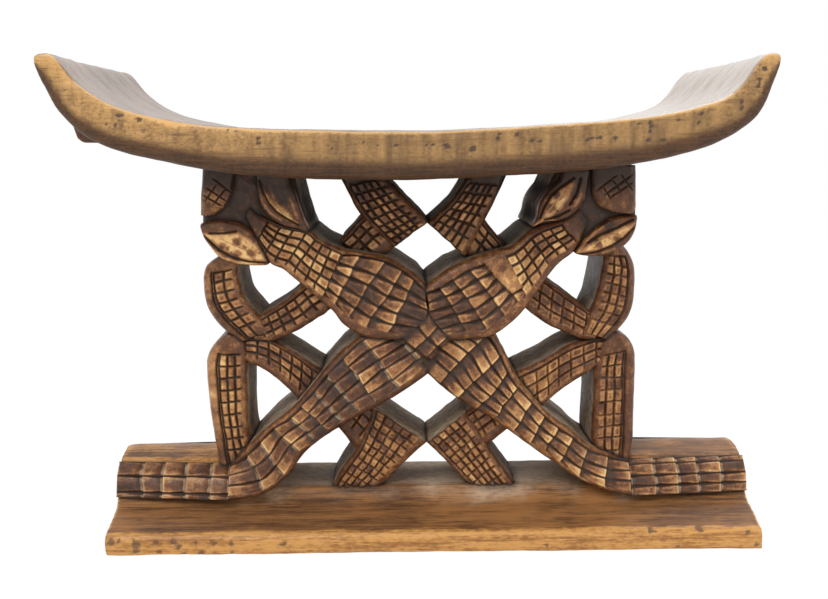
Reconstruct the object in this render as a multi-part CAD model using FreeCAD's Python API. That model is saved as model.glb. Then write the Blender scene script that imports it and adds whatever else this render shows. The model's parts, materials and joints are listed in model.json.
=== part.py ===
import FreeCAD, Part
import math
import os

# A carved African stool: a wide seat that curves up at both ends, an openwork of two
# crossed crocodiles that carries it, and a slab base with a raised ridge at each end.
# The real stool is one block of wood, so each solid here is one carved member, and
# members meet face to face where the grain of the block runs on through them.
# Front and back are carved alike, so everything is the same on both sides of Y = 0.

Vector = FreeCAD.Vector

# Seat: a slab that bends up at both ends and thins towards its rounded tips
seat_length = 560.0
seat_depth = 280.0
seat_underside_height = 303.0
seat_thickness = 38.5
seat_lower_round = 12.0
seat_upper_round = 5.0
seat_dish = 2.5
left_tip_height = 400.5
right_tip_height = 397.5
tip_inset = 4.0

# Carrying lug under the left end of the seat
lug_width = 90.0
lug_round = 4.0

# Base slab with a sloped top
base_length = 537.0
base_depth = 198.0
base_offset = 18.0
base_crest_height = 41.0

# Ridges on the two ends of the base, with a tail along each side
ridge_depth = 91.0
ridge_height = 68.4
tail_root_depth = 116.0

# Openwork between base and seat
crossing_offset = 13.7
carving_half_width = 187.0
chest_depth = 140.0
head_core_depth = 124.0
hips_depth = 124.0
inner_foreleg_depth = 100.0
outer_foreleg_depth = 92.0
outer_hindleg_depth = 86.0
inner_hindleg_depth = 84.0
body_round = 6.5
lobe_cap_depth = 7.0
lobe_face_share = 0.74
leg_round = 6.0

# The stool's middle along X is halfway between its outermost ends
left_end = min(-seat_length / 2, base_offset - base_length / 2)
right_end = max(seat_length / 2, base_offset + base_length / 2)
middle = (left_end + right_end) / 2
seat_x = -middle
base_x = base_offset - middle
crossing_x = crossing_offset - middle
carving_height = seat_underside_height - base_crest_height

# Stations of the seat from its middle to a tip: place of the lower edge (share of half
# the length, share of the tip's rise), thickness (share) and lean (share of a right angle)
left_station_shares = (
    (0.300, 0.020, 0.990, 0.02),
    (0.500, 0.071, 0.930, 0.07),
    (0.643, 0.147, 0.860, 0.14),
    (0.750, 0.215, 0.855, 0.19),
    (0.830, 0.295, 0.845, 0.29),
    (0.900, 0.426, 0.800, 0.48),
    (0.958, 0.634, 0.675, 0.66),
    (0.994, 0.868, 0.520, 0.80),
    (0.999, 0.955, 0.390, 0.87),
)
right_station_shares = (
    (0.300, 0.036, 0.985, 0.03),
    (0.500, 0.074, 0.975, 0.06),
    (0.643, 0.130, 0.925, 0.12),
    (0.750, 0.200, 0.875, 0.19),
    (0.850, 0.303, 0.815, 0.32),
    (0.910, 0.408, 0.765, 0.48),
    (0.965, 0.619, 0.635, 0.68),
    (0.996, 0.880, 0.460, 0.84),
    (0.999, 0.950, 0.340, 0.89),
)
# The last section of a tip: place, thickness and lean, drawn in to round the tip off
left_cap_shares = (0.991, 0.990, 0.220, 0.89)
right_cap_shares = (0.992, 0.990, 0.180, 0.90)

# Outline of the lug: shares of half the seat's length and of the left tip's rise
lug_shares = (
    (0.985, 0.80),
    (0.985, 0.44),
    (0.974, 0.35),
    (0.957, 0.31),
    (0.800, 0.31),
    (0.800, 0.45),
    (0.930, 0.80),
)

# Half section of the base: shares of half its depth and of its crest height
base_lip_share = (1.0, 0.29)
base_lip_arc_share = (0.975, 0.40)
base_slope_start_share = (0.91, 0.463)
base_slope_end_share = (0.62, 0.66)
base_hollow_arc_share = (0.505, 0.76)
base_crest_share = (0.425, 1.0)

# Half section of a ridge: shares of half its depth and of its height above the floor
ridge_foot_share = (1.0, 0.35)
ridge_wall_share = (0.985, 0.62)
ridge_shoulder_arc_share = (0.84, 0.82)
ridge_shoulder_share = (0.44, 0.95)

# Section of a tail on the side of a ridge, in the same shares
tail_low_share = (1.065, 0.51)
tail_outer_arc_share = (0.975, 0.745)
tail_top_share = (0.69, 0.904)
tail_inner_shares = ((0.50, 0.78), (0.78, 0.51))

# Corners of the openwork: how far out from the crossing (share of the carving's half
# width) and how high over the base crest (share of the carving's height), first for the
# left half and then for the right half
corner_shares = {
    "notch": (0.000, 0.668, 0.000, 0.668),
    "chest_fork": (0.000, 0.479, 0.000, 0.479),
    "hip_fork": (0.000, 0.366, 0.000, 0.366),
    "fore_elbow_top": (0.000, 0.899, 0.000, 0.899),
    "fore_elbow_mid": (0.000, 0.876, 0.000, 0.876),
    "fore_elbow_low": (0.000, 0.852, 0.000, 0.852),
    "hind_elbow_top": (0.000, 0.145, 0.000, 0.145),
    "hind_elbow_mid": (0.000, 0.130, 0.000, 0.130),
    "hind_elbow_low": (0.000, 0.115, 0.000, 0.115),
    "neck_top": (0.518, 0.846, 0.462, 0.840),
    "throat": (0.459, 0.813, 0.412, 0.793),
    "armpit_top": (0.176, 0.766, 0.151, 0.745),
    "chest_low": (0.312, 0.498, 0.282, 0.498),
    "armpit_low": (0.430, 0.581, 0.427, 0.566),
    "armpit_outer": (0.578, 0.688, 0.541, 0.695),
    "neck_low": (0.652, 0.729, 0.666, 0.752),
    "jaw_inner": (0.891, 0.730, 0.836, 0.738),
    "jaw_outer": (0.919, 0.761, 0.869, 0.782),
    "cheek": (0.974, 0.836, 0.915, 0.840),
    "brow": (0.972, 0.878, 0.918, 0.893),
    "snout_top": (0.974, 1.060, 0.916, 1.060),
    "snout_inner": (0.831, 1.060, 0.725, 1.060),
    "snout_notch": (0.846, 0.947, 0.734, 0.943),
    "snout_heel": (0.886, 0.905, 0.793, 0.903),
    "outer_eye_top": (0.775, 0.865, 0.761, 0.866),
    "outer_eye_tip": (0.697, 0.744, 0.655, 0.763),
    "inner_eye_top": (0.715, 1.060, 0.679, 1.060),
    "inner_eye_back": (0.731, 0.924, 0.678, 0.939),
    "inner_eye_low": (0.629, 0.861, 0.579, 0.872),
    "crown": (0.624, 1.060, 0.573, 1.060),
    "temple": (0.568, 0.912, 0.507, 0.908),
    "hand_inner": (0.188, 1.025, 0.158, 1.025),
    "hand_outer": (0.417, 1.025, 0.391, 1.025),
    "crook": (0.324, 0.884, 0.274, 0.881),
    "elbow_in": (0.765, 0.567, 0.768, 0.600),
    "hand_out": (0.995, 0.712, 0.935, 0.729),
    "forearm_out": (0.997, 0.635, 0.937, 0.615),
    "elbow_out": (0.950, 0.550, 0.913, 0.546),
    "touch_out": (0.916, 0.506, 0.889, 0.487),
    "touch_in": (0.625, 0.477, 0.613, 0.467),
    "hip_low": (0.252, 0.263, 0.187, 0.256),
    "groin_low": (0.427, 0.194, 0.383, 0.190),
    "bend_low": (0.720, -0.004, 0.772, -0.004),
    "tail_root_low": (0.898, -0.023, 0.922, -0.023),
    "tail_root_top": (0.898, 0.113, 0.922, 0.107),
    "heel": (0.810, 0.145, 0.766, 0.122),
    "groin_top": (0.589, 0.285, 0.547, 0.265),
    "hip_top": (0.483, 0.386, 0.442, 0.363),
    "knee_in": (0.807, 0.413, 0.765, 0.387),
    "knee_top": (0.962, 0.470, 0.927, 0.462),
    "knee_out": (0.995, 0.415, 0.946, 0.415),
    "shin_out": (0.990, 0.300, 0.948, 0.298),
    "foot_out": (0.958, 0.050, 0.949, 0.050),
    "foot_in": (0.809, 0.050, 0.766, 0.050),
    "hind_crook": (0.288, 0.110, 0.279, 0.125),
    "paw_inner": (0.211, -0.020, 0.191, -0.020),
    "paw_outer": (0.455, -0.020, 0.460, -0.020),
}

# Each outline goes round a member. A row is the corner where an edge starts, the edge's
# swell (share of its length, positive outwards) and whether it is rounded front and back
outline_swell_shares = {
    "chest": (
        ("neck_top", 0.0, True),
        ("throat", 0.0, True),
        ("armpit_top", 0.0, True),
        ("notch", 0.0, False),
        ("chest_fork", 0.0, True),
        ("chest_low", 0.0, True),
        ("armpit_low", 0.0, True),
        ("armpit_outer", 0.0, True),
        ("neck_low", 0.0, False),
    ),
    "hips": (
        ("chest_fork", 0.0, False),
        ("hip_fork", 0.0, True),
        ("hip_low", 0.0, True),
        ("groin_low", 0.0, True),
        ("bend_low", 0.0, True),
        ("tail_root_low", 0.0, False),
        ("tail_root_top", 0.0, True),
        ("heel", 0.0, True),
        ("groin_top", 0.0, True),
        ("hip_top", 0.0, True),
        ("chest_low", 0.0, False),
    ),
    "head": (
        ("neck_low", 0.0, False),
        ("outer_eye_tip", 0.0, False),
        ("brow", 0.0, False),
        ("snout_top", 0.0, False),
        ("crown", 0.0, False),
        ("temple", 0.0, False),
        ("neck_top", 0.0, False),
    ),
    "snout": (
        ("snout_top", 0.0, False),
        ("snout_inner", 0.0, True),
        ("snout_notch", 0.06, True),
        ("snout_heel", 0.06, True),
        ("brow", 0.0, True),
    ),
    "outer_eye": (
        ("brow", 0.06, True),
        ("outer_eye_top", 0.12, True),
        ("outer_eye_tip", 0.03, True),
        ("jaw_inner", 0.0, False),
        ("jaw_outer", 0.05, True),
        ("cheek", 0.0, True),
    ),
    "inner_eye": (
        ("inner_eye_top", 0.0, False),
        ("crown", 0.01, True),
        ("temple", 0.03, True),
        ("neck_top", 0.0, True),
        ("inner_eye_low", 0.10, True),
        ("inner_eye_back", 0.0, True),
    ),
    "inner_foreleg_upper": (
        ("throat", 0.0, False),
        ("armpit_top", 0.0, True),
        ("fore_elbow_low", 0.0, False),
        ("fore_elbow_mid", 0.0, False),
        ("crook", 0.0, True),
    ),
    "inner_foreleg_lower": (
        ("crook", 0.0, False),
        ("fore_elbow_mid", 0.0, False),
        ("fore_elbow_top", 0.0, True),
        ("hand_inner", 0.0, False),
        ("hand_outer", 0.0, True),
    ),
    "outer_foreleg_upper": (
        ("armpit_outer", 0.0, True),
        ("elbow_in", 0.0, False),
        ("touch_out", 0.07, False),
        ("touch_in", 0.0, True),
        ("armpit_low", 0.0, False),
    ),
    "outer_foreleg_lower": (
        ("elbow_in", 0.03, True),
        ("jaw_inner", 0.0, False),
        ("jaw_outer", 0.0, True),
        ("hand_out", 0.0, True),
        ("forearm_out", 0.06, True),
        ("elbow_out", 0.0, True),
        ("touch_out", 0.0, False),
    ),
    "outer_hindleg_upper": (
        ("groin_top", 0.0, False),
        ("hip_top", 0.0, True),
        ("touch_in", -0.07, False),
        ("touch_out", 0.0, False),
        ("knee_in", 0.0, True),
    ),
    "outer_hindleg_lower": (
        ("knee_in", 0.0, False),
        ("touch_out", 0.0, True),
        ("knee_top", 0.0, True),
        ("knee_out", 0.0, True),
        ("shin_out", 0.0, True),
        ("foot_out", 0.0, False),
        ("foot_in", 0.0, True),
    ),
    "inner_hindleg_upper": (
        ("groin_low", 0.0, False),
        ("hip_low", 0.0, True),
        ("hind_elbow_top", 0.0, False),
        ("hind_elbow_mid", 0.0, False),
        ("hind_crook", 0.0, True),
    ),
    "inner_hindleg_lower": (
        ("hind_crook", 0.0, False),
        ("hind_elbow_mid", 0.0, False),
        ("hind_elbow_low", 0.0, True),
        ("paw_inner", 0.0, False),
        ("paw_outer", 0.0, True),
    ),
}

# Lobes are swollen and drawn in at both faces, the other members are straight through
lobes = ("snout", "outer_eye", "inner_eye")

# Depth of each member, the rounding of its edges or the depth of a lobe's drawn-in ends,
# and those that it gives way to
members = {
    "chest": (chest_depth, body_round, ()),
    "hips": (hips_depth, body_round, ("base",)),
    "snout": (chest_depth, lobe_cap_depth, ("seat",)),
    "outer_eye": (chest_depth, lobe_cap_depth, ()),
    "inner_eye": (chest_depth, lobe_cap_depth, ("seat",)),
    "head": (head_core_depth, body_round, ("seat", "snout", "outer_eye", "inner_eye")),
    "inner_foreleg_upper": (inner_foreleg_depth, leg_round, ()),
    "inner_foreleg_lower": (inner_foreleg_depth, leg_round, ("seat",)),
    "outer_foreleg_upper": (outer_foreleg_depth, leg_round, ()),
    "outer_foreleg_lower": (outer_foreleg_depth, leg_round, ("outer_eye",)),
    "outer_hindleg_upper": (outer_hindleg_depth, leg_round, ()),
    "outer_hindleg_lower": (outer_hindleg_depth, leg_round, ("base", "ridge", "hips")),
    "inner_hindleg_upper": (inner_hindleg_depth, leg_round, ()),
    "inner_hindleg_lower": (inner_hindleg_depth, leg_round, ("base",)),
}
upper_members = ("chest", "head", "snout", "outer_eye", "inner_eye", "inner_foreleg_upper",
                 "inner_foreleg_lower", "outer_foreleg_upper", "outer_foreleg_lower")

# A crocodile's head is in its own half of the openwork, and its hips are in the other half
other_half = {"left": "right", "right": "left"}


def outwards(half):
    """The direction along X in which a half runs out from the crossing."""
    return -1 if half == "left" else 1


def corner(half, name):
    """The place of a corner of the openwork, in the plane Y = 0."""
    row = corner_shares[name]
    out_share, height_share = row[0:2] if half == "left" else row[2:4]
    x = crossing_x + outwards(half) * out_share * carving_half_width
    return Vector(x, 0, base_crest_height + height_share * carving_height)


def outline_edges(half, rows):
    """Edges round a member in the plane Y = 0, each with the point at its middle."""
    starts = [corner(half, name) for name, swell_share, is_rounded in rows]
    ends = starts[1:] + starts[:1]
    doubled_area = sum(start.x * end.z - end.x * start.z for start, end in zip(starts, ends))
    turn = math.copysign(1, doubled_area)
    edges = []
    for start, end, (name, swell_share, is_rounded) in zip(starts, ends, rows):
        run = end - start
        away = Vector(run.z, 0, -run.x) * turn
        middle_point = (start + end) / 2 + away * swell_share
        if swell_share == 0:
            edge = Part.LineSegment(start, end).toShape()
        else:
            edge = Part.Arc(start, middle_point, end).toShape()
        edges.append((edge, middle_point, is_rounded))
    return edges


def closest_edge(solid, point):
    """The edge of a solid whose middle is nearest to a point."""
    def distance(edge):
        halfway = (edge.FirstParameter + edge.LastParameter) / 2
        return edge.valueAt(halfway).distanceToPoint(point)
    return min(solid.Edges, key=distance)


def carved_member(half, rows, depth, edge_round):
    """A member: its outline through the whole depth, with rounded edges front and back."""
    edges = outline_edges(half, rows)
    wire = Part.Wire([edge for edge, middle_point, is_rounded in edges])
    face = Part.Face(wire)
    to_front = Vector(0, -depth / 2, 0)
    to_back = Vector(0, depth / 2, 0)
    face.translate(to_front)
    solid = face.extrude(to_back - to_front)
    rounded = []
    for edge, middle_point, is_rounded in edges:
        if is_rounded:
            rounded.append(closest_edge(solid, middle_point + to_front))
            rounded.append(closest_edge(solid, middle_point + to_back))
    return solid.makeFillet(edge_round, rounded) if rounded else solid


def lobe_member(half, rows, depth, cap_depth):
    """A swollen lobe: its outline through the middle, drawn in towards both faces."""
    wire = Part.Wire([edge for edge, middle_point, is_rounded in outline_edges(half, rows)])
    centre = Part.Face(wire).CenterOfMass
    sections = []
    for y, scale_share in ((-depth / 2, lobe_face_share), (cap_depth - depth / 2, 1.0),
                           (depth / 2 - cap_depth, 1.0), (depth / 2, lobe_face_share)):
        section = wire.copy()
        section.scale(scale_share, centre)
        section.translate(Vector(0, y, 0))
        sections.append(section)
    return Part.makeLoft(sections, True, True)


def seat_section(half, rise, station_shares, half_depth):
    """One section across the seat, square to its bent length."""
    out_share, rise_share, thickness_share, lean_share = station_shares
    low = Vector(seat_x + outwards(half) * out_share * seat_length / 2, 0,
                 seat_underside_height + rise_share * rise)
    lean = lean_share * math.pi / 2
    up = Vector(-outwards(half) * math.sin(lean), 0, math.cos(lean))
    thickness = seat_thickness * thickness_share
    low_round = seat_lower_round * thickness_share
    top_round = seat_upper_round * thickness_share

    def at(y, height):
        return low + up * height + Vector(0, y, 0)

    diagonal = math.sqrt(0.5)
    low_middle = low_round - low_round * diagonal
    top_middle = top_round - top_round * diagonal
    return Part.Wire([
        Part.LineSegment(at(low_round - half_depth, 0), at(half_depth - low_round, 0)).toShape(),
        Part.Arc(at(half_depth - low_round, 0), at(half_depth - low_middle, low_middle),
                 at(half_depth, low_round)).toShape(),
        Part.LineSegment(at(half_depth, low_round), at(half_depth, thickness - top_round)).toShape(),
        Part.Arc(at(half_depth, thickness - top_round),
                 at(half_depth - top_middle, thickness - top_middle),
                 at(half_depth - top_round, thickness)).toShape(),
        Part.Arc(at(half_depth - top_round, thickness), at(0, thickness - seat_dish),
                 at(top_round - half_depth, thickness)).toShape(),
        Part.Arc(at(top_round - half_depth, thickness),
                 at(top_middle - half_depth, thickness - top_middle),
                 at(-half_depth, thickness - top_round)).toShape(),
        Part.LineSegment(at(-half_depth, thickness - top_round), at(-half_depth, low_round)).toShape(),
        Part.Arc(at(-half_depth, low_round), at(low_middle - half_depth, low_middle),
                 at(low_round - half_depth, 0)).toShape(),
    ])


def make_seat():
    """The seat, lofted from tip to tip through its sections."""
    half_depth = seat_depth / 2
    left_rise = left_tip_height - seat_underside_height
    right_rise = right_tip_height - seat_underside_height
    middle_shares = (0.0, 0.0, 1.0, 0.0)
    sections = [seat_section("left", left_rise, left_cap_shares, half_depth - tip_inset)]
    for station_shares in reversed(left_station_shares):
        sections.append(seat_section("left", left_rise, station_shares, half_depth))
    sections.append(seat_section("right", right_rise, middle_shares, half_depth))
    for station_shares in right_station_shares:
        sections.append(seat_section("right", right_rise, station_shares, half_depth))
    sections.append(seat_section("right", right_rise, right_cap_shares, half_depth - tip_inset))
    return Part.makeLoft(sections, True, False)


def make_lug(seat):
    """The carrying lug under the left end, closed against the seat above it."""
    rise = left_tip_height - seat_underside_height
    points = []
    for out_share, rise_share in lug_shares:
        x = seat_x - out_share * seat_length / 2
        points.append(Vector(x, -lug_width / 2, seat_underside_height + rise_share * rise))
    face = Part.Face(Part.makePolygon(points + points[:1]))
    block = face.extrude(Vector(0, lug_width, 0))
    front_and_back = []
    for start, end in zip(points[:4], points[1:5]):
        halfway = (start + end) / 2
        front_and_back.append(closest_edge(block, halfway))
        front_and_back.append(closest_edge(block, halfway + Vector(0, lug_width, 0)))
    return block.makeFillet(lug_round, front_and_back).cut(seat)


def section_point(x, side, half_depth, height, share):
    """A point of a section across Y and Z, from its shares of half depth and height."""
    return Vector(x, side * share[0] * half_depth, share[1] * height)


def make_base():
    """The base slab: a rounded lip, a slope and a hollow that rises to the flat crest."""
    x = base_x - base_length / 2
    half_depth = base_depth / 2

    def at(side, share):
        return section_point(x, side, half_depth, base_crest_height, share)

    front, back = -1, 1
    edges = []
    for side in (front, back):
        edges.append(Part.LineSegment(at(side, (1.0, 0.0)), at(side, base_lip_share)))
        edges.append(Part.Arc(at(side, base_lip_share), at(side, base_lip_arc_share),
                              at(side, base_slope_start_share)))
        edges.append(Part.LineSegment(at(side, base_slope_start_share),
                                      at(side, base_slope_end_share)))
        edges.append(Part.Arc(at(side, base_slope_end_share), at(side, base_hollow_arc_share),
                              at(side, base_crest_share)))
    edges.append(Part.LineSegment(at(front, base_crest_share), at(back, base_crest_share)))
    edges.append(Part.LineSegment(at(front, (1.0, 0.0)), at(back, (1.0, 0.0))))
    wire = Part.Wire(Part.__sortEdges__([edge.toShape() for edge in edges]))
    return Part.Face(wire).extrude(Vector(base_length, 0, 0))


def make_ridge(half, base):
    """A ridge with a rounded top, from the end of the hips to the end of the base."""
    root_x = corner(half, "tail_root_low").x
    length = base_x + outwards(half) * base_length / 2 - root_x

    def at(side, share):
        return section_point(root_x, side, ridge_depth / 2, ridge_height, share)

    front, back = -1, 1
    edges = [
        Part.LineSegment(at(front, ridge_foot_share), at(front, ridge_wall_share)),
        Part.Arc(at(front, ridge_wall_share), at(front, ridge_shoulder_arc_share),
                 at(front, ridge_shoulder_share)),
        Part.Arc(at(front, ridge_shoulder_share), at(front, (0.0, 1.0)),
                 at(back, ridge_shoulder_share)),
        Part.Arc(at(back, ridge_shoulder_share), at(back, ridge_shoulder_arc_share),
                 at(back, ridge_wall_share)),
        Part.LineSegment(at(back, ridge_wall_share), at(back, ridge_foot_share)),
        Part.LineSegment(at(back, ridge_foot_share), at(front, ridge_foot_share)),
    ]
    wire = Part.Wire([edge.toShape() for edge in edges])
    return Part.Face(wire).extrude(Vector(length, 0, 0)).cut(base)


def tail_section(x, side, depth):
    """A section of a tail: a rounded outer side and a straight one inside the ridge."""
    def at(share):
        return section_point(x, side, depth / 2, ridge_height, share)

    edges = [
        Part.Arc(at(tail_low_share), at(tail_outer_arc_share), at(tail_top_share)),
        Part.LineSegment(at(tail_top_share), at(tail_inner_shares[0])),
        Part.LineSegment(at(tail_inner_shares[0]), at(tail_inner_shares[1])),
        Part.LineSegment(at(tail_inner_shares[1]), at(tail_low_share)),
    ]
    return Part.Wire([edge.toShape() for edge in edges])


def make_tail(half, side, base, hips):
    """A tail that runs along one side of a ridge, from the hips to the end of the base."""
    root_x = corner(half, "tail_root_low").x
    tip_x = base_x + outwards(half) * base_length / 2
    sections = [tail_section(root_x, side, tail_root_depth), tail_section(tip_x, side, ridge_depth)]
    return Part.makeLoft(sections, True, True).cut(base).cut(hips)


def make_half(half, seat, base):
    """All carved members of one half of the stool, and the ridge that they stand by."""
    solids = {}
    blocks = {"seat": seat, "base": base, "ridge": make_ridge(half, base)}
    for name, (depth, edge_round, gives_way_to) in members.items():
        make_member = lobe_member if name in lobes else carved_member
        solid = make_member(half, outline_swell_shares[name], depth, edge_round)
        for other in gives_way_to:
            solid = solid.cut(blocks[other])
        blocks[name] = solid
        solids[name] = solid
    solids["tail_front"] = make_tail(half, -1, base, solids["hips"])
    solids["tail_back"] = make_tail(half, 1, base, solids["hips"])
    ridge = blocks["ridge"]
    for name in ("tail_front", "tail_back", "hips"):
        ridge = ridge.cut(solids[name])
    solids["ridge"] = ridge
    return solids


def main():
    """Builds every member and writes it under its own name."""
    os.makedirs("parts", exist_ok=True)
    seat = make_seat()
    base = make_base()
    nodes = {"seat": seat, "seat_lug": make_lug(seat), "base": base}
    for half in ("left", "right"):
        for name, solid in make_half(half, seat, base).items():
            if name == "ridge":
                nodes[f"{half}_ridge"] = solid
            elif name in upper_members:
                nodes[f"{half}_croc_{name}"] = solid
            else:
                nodes[f"{other_half[half]}_croc_{name}"] = solid
    for name, solid in nodes.items():
        print(f"{name}: {len(solid.Solids)} solid, {solid.Volume / 1000:.1f} cm3, valid {solid.isValid()}")
        solid.exportStep(os.path.join("parts", f"{name}.step"))


main()
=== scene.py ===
# %% [markdown]
# # A carved crocodile stool
# The real stool is one block of wood. A carver cut a wide seat, an openwork of two crossed
# crocodiles and a slab base out of it, and then cut scales into the crocodiles with a knife.
# The CAD frame holds every carved member at its real size. This lesson gives each member a
# finer mesh with real cuts in it, and a finish that looks stained, handled and worn.

import json
import math

import bmesh
import bpy
import numpy as np
from mathutils import Matrix, Vector
from mathutils.bvhtree import BVHTree

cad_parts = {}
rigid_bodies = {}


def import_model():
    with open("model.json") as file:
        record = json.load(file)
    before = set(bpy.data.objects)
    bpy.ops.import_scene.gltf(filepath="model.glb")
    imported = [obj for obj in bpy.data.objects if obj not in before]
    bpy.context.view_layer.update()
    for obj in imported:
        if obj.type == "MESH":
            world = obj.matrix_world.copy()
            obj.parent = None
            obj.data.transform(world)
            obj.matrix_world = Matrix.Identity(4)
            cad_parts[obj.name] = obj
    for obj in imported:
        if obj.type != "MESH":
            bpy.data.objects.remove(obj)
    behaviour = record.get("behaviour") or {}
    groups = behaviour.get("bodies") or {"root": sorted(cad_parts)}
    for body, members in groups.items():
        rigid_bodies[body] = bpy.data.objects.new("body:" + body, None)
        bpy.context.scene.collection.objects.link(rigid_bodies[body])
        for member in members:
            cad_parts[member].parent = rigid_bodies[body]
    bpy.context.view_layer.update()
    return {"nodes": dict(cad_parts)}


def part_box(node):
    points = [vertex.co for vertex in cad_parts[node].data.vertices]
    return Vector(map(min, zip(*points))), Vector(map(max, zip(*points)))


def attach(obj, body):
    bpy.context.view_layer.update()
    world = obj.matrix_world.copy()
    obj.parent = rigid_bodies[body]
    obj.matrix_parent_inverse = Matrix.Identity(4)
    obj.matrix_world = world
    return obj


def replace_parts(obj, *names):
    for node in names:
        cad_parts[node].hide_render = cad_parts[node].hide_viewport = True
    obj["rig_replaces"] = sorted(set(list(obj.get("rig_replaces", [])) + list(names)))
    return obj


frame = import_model()

# %% [markdown]
# ## The camera
# A picture can only be compared with the photograph if the camera stands where the
# photographer's did. The seat's and the base's edges run away from the camera, and the way
# that they shrink gives its place: about a metre in front and a little above the seat,
# turned slightly to the right and down. The same camera also works backwards. A point seen
# in the photograph, on a plane whose depth is known, gives a place on the stool.

# %% Camera
photo_width, photo_height = 828, 599
sensor_width_mm = 36.0
focal_length_mm = 54.74
camera_place = Vector((-0.01125, -1.090, 0.3335))
camera_yaw, camera_pitch, camera_roll = (math.radians(a) for a in (0.64, 7.2, 0.45))

forward = Vector((math.sin(camera_yaw) * math.cos(camera_pitch),
                  math.cos(camera_yaw) * math.cos(camera_pitch), -math.sin(camera_pitch)))
level_right = Vector((math.cos(camera_yaw), -math.sin(camera_yaw), 0.0))
level_up = level_right.cross(forward)
right = level_right * math.cos(camera_roll) - level_up * math.sin(camera_roll)
up = level_right * math.sin(camera_roll) + level_up * math.cos(camera_roll)

camera_data = bpy.data.cameras.new("camera")
camera_data.sensor_width = sensor_width_mm
camera_data.lens = focal_length_mm
camera = bpy.data.objects.new("camera", camera_data)
camera.matrix_world = Matrix.Translation(camera_place) @ Matrix(
    (right, up, -forward)).transposed().to_4x4()
bpy.context.scene.collection.objects.link(camera)
bpy.context.scene.camera = camera


def on_plane(pixels, depth):
    """Where pixels of the photograph lie on the plane Y = depth, as rows of X, Y and Z."""
    pixels = np.asarray(pixels, float)
    depth = np.broadcast_to(np.asarray(depth, float), pixels.shape[:-1])
    focal = focal_length_mm / sensor_width_mm * photo_width
    across = (pixels[..., 0] - photo_width / 2) / focal
    upwards = (photo_height / 2 - pixels[..., 1]) / focal
    rays = (np.array(forward) + across[..., None] * np.array(right)
            + upwards[..., None] * np.array(up))
    reach = (depth - camera_place.y) / rays[..., 1]
    return np.array(camera_place) + rays * reach[..., None]


middle_of_view = on_plane((photo_width / 2, photo_height / 2), 0.0)
print("the view's middle meets the stool's middle plane at", middle_of_view.round(3))

# %% [markdown]
# ## Shader maths in Python
# A material is a graph of nodes, and a formula built from Math nodes by hand is hard to
# read. This class wraps one socket, so that `1 - mask` or `wear * grain` adds the Math
# nodes by itself. Colours and vectors have their own nodes, because a Math node would turn
# a colour grey.

# %% A socket that can calculate
class Signal:
    """A number that varies over a surface: one output socket of a material's node."""

    def __init__(self, finish, socket):
        self.finish = finish
        self.socket = socket

    def math(self, operation, first, second):
        return self.finish.node("ShaderNodeMath", {"operation": operation},
                                {0: first, 1: second})

    def __add__(self, other):
        return self.math("ADD", self, other)

    def __radd__(self, other):
        return self.math("ADD", other, self)

    def __sub__(self, other):
        return self.math("SUBTRACT", self, other)

    def __rsub__(self, other):
        return self.math("SUBTRACT", other, self)

    def __mul__(self, other):
        return self.math("MULTIPLY", self, other)

    def __rmul__(self, other):
        return self.math("MULTIPLY", other, self)

    def rises(self, start, end):
        """0 below start and 1 above end, with a smooth step between them."""
        settings = {"interpolation_type": "SMOOTHSTEP"}
        values = {"Value": self, "From Min": start, "From Max": end}
        return self.finish.node("ShaderNodeMapRange", settings, values)


class Finish:
    """The nodes of one material, or of the world, under construction."""

    def __init__(self, owner):
        self.owner = owner
        owner.use_nodes = True
        self.tree = owner.node_tree
        self.tree.nodes.clear()

    def node(self, kind, settings, values, output=0):
        """Adds a node: its settings first, then values or links into its sockets."""
        made = self.tree.nodes.new(kind)
        for name, value in settings.items():
            setattr(made, name, value)
        for key, value in values.items():
            if isinstance(value, Signal):
                self.tree.links.new(value.socket, made.inputs[key])
            else:
                made.inputs[key].default_value = value
        return Signal(self, made.outputs[output]) if len(made.outputs) else None

    def place(self, scale):
        """Object coordinates in metres, stretched by a scale along each axis."""
        spot = self.node("ShaderNodeTexCoord", {}, {}, "Object")
        return self.node("ShaderNodeMapping", {}, {"Vector": spot, "Scale": scale})

    def noise(self, scale, detail=3.0, roughness=0.55):
        """Clouds of 0 to 1, with so many of them in a metre along each axis."""
        values = {"Vector": self.place(scale), "Scale": 1.0, "Detail": detail,
                  "Roughness": roughness}
        return self.node("ShaderNodeTexNoise", {}, values)

    def attribute(self, name):
        """A number that the mesh carries at its points."""
        return self.node("ShaderNodeAttribute", {"attribute_name": name}, {}, "Fac")

    def blend(self, first, second, factor):
        """A colour between two others, each given as (red, green, blue) or as a link."""
        colours = [c if isinstance(c, Signal) else (*c, 1.0) for c in (first, second)]
        return self.node("ShaderNodeMix", {"data_type": "RGBA"},
                         {"Factor": factor, 6: colours[0], 7: colours[1]}, 2)

    def bump(self, height, distance, strength=1.0):
        """A normal that follows a height, whose full range is a distance in metres."""
        return self.node("ShaderNodeBump", {}, {"Height": height, "Distance": distance,
                                                "Strength": strength})

    def surface(self, values):
        """The finished surface."""
        shader = self.node("ShaderNodeBsdfPrincipled", {}, values)
        self.node("ShaderNodeOutputMaterial", {}, {"Surface": shader})
        return self.owner


def new_material(name):
    return Finish(bpy.data.materials.new(name))


print("operators:", [name for name in vars(Signal) if name not in vars(object)])
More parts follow.
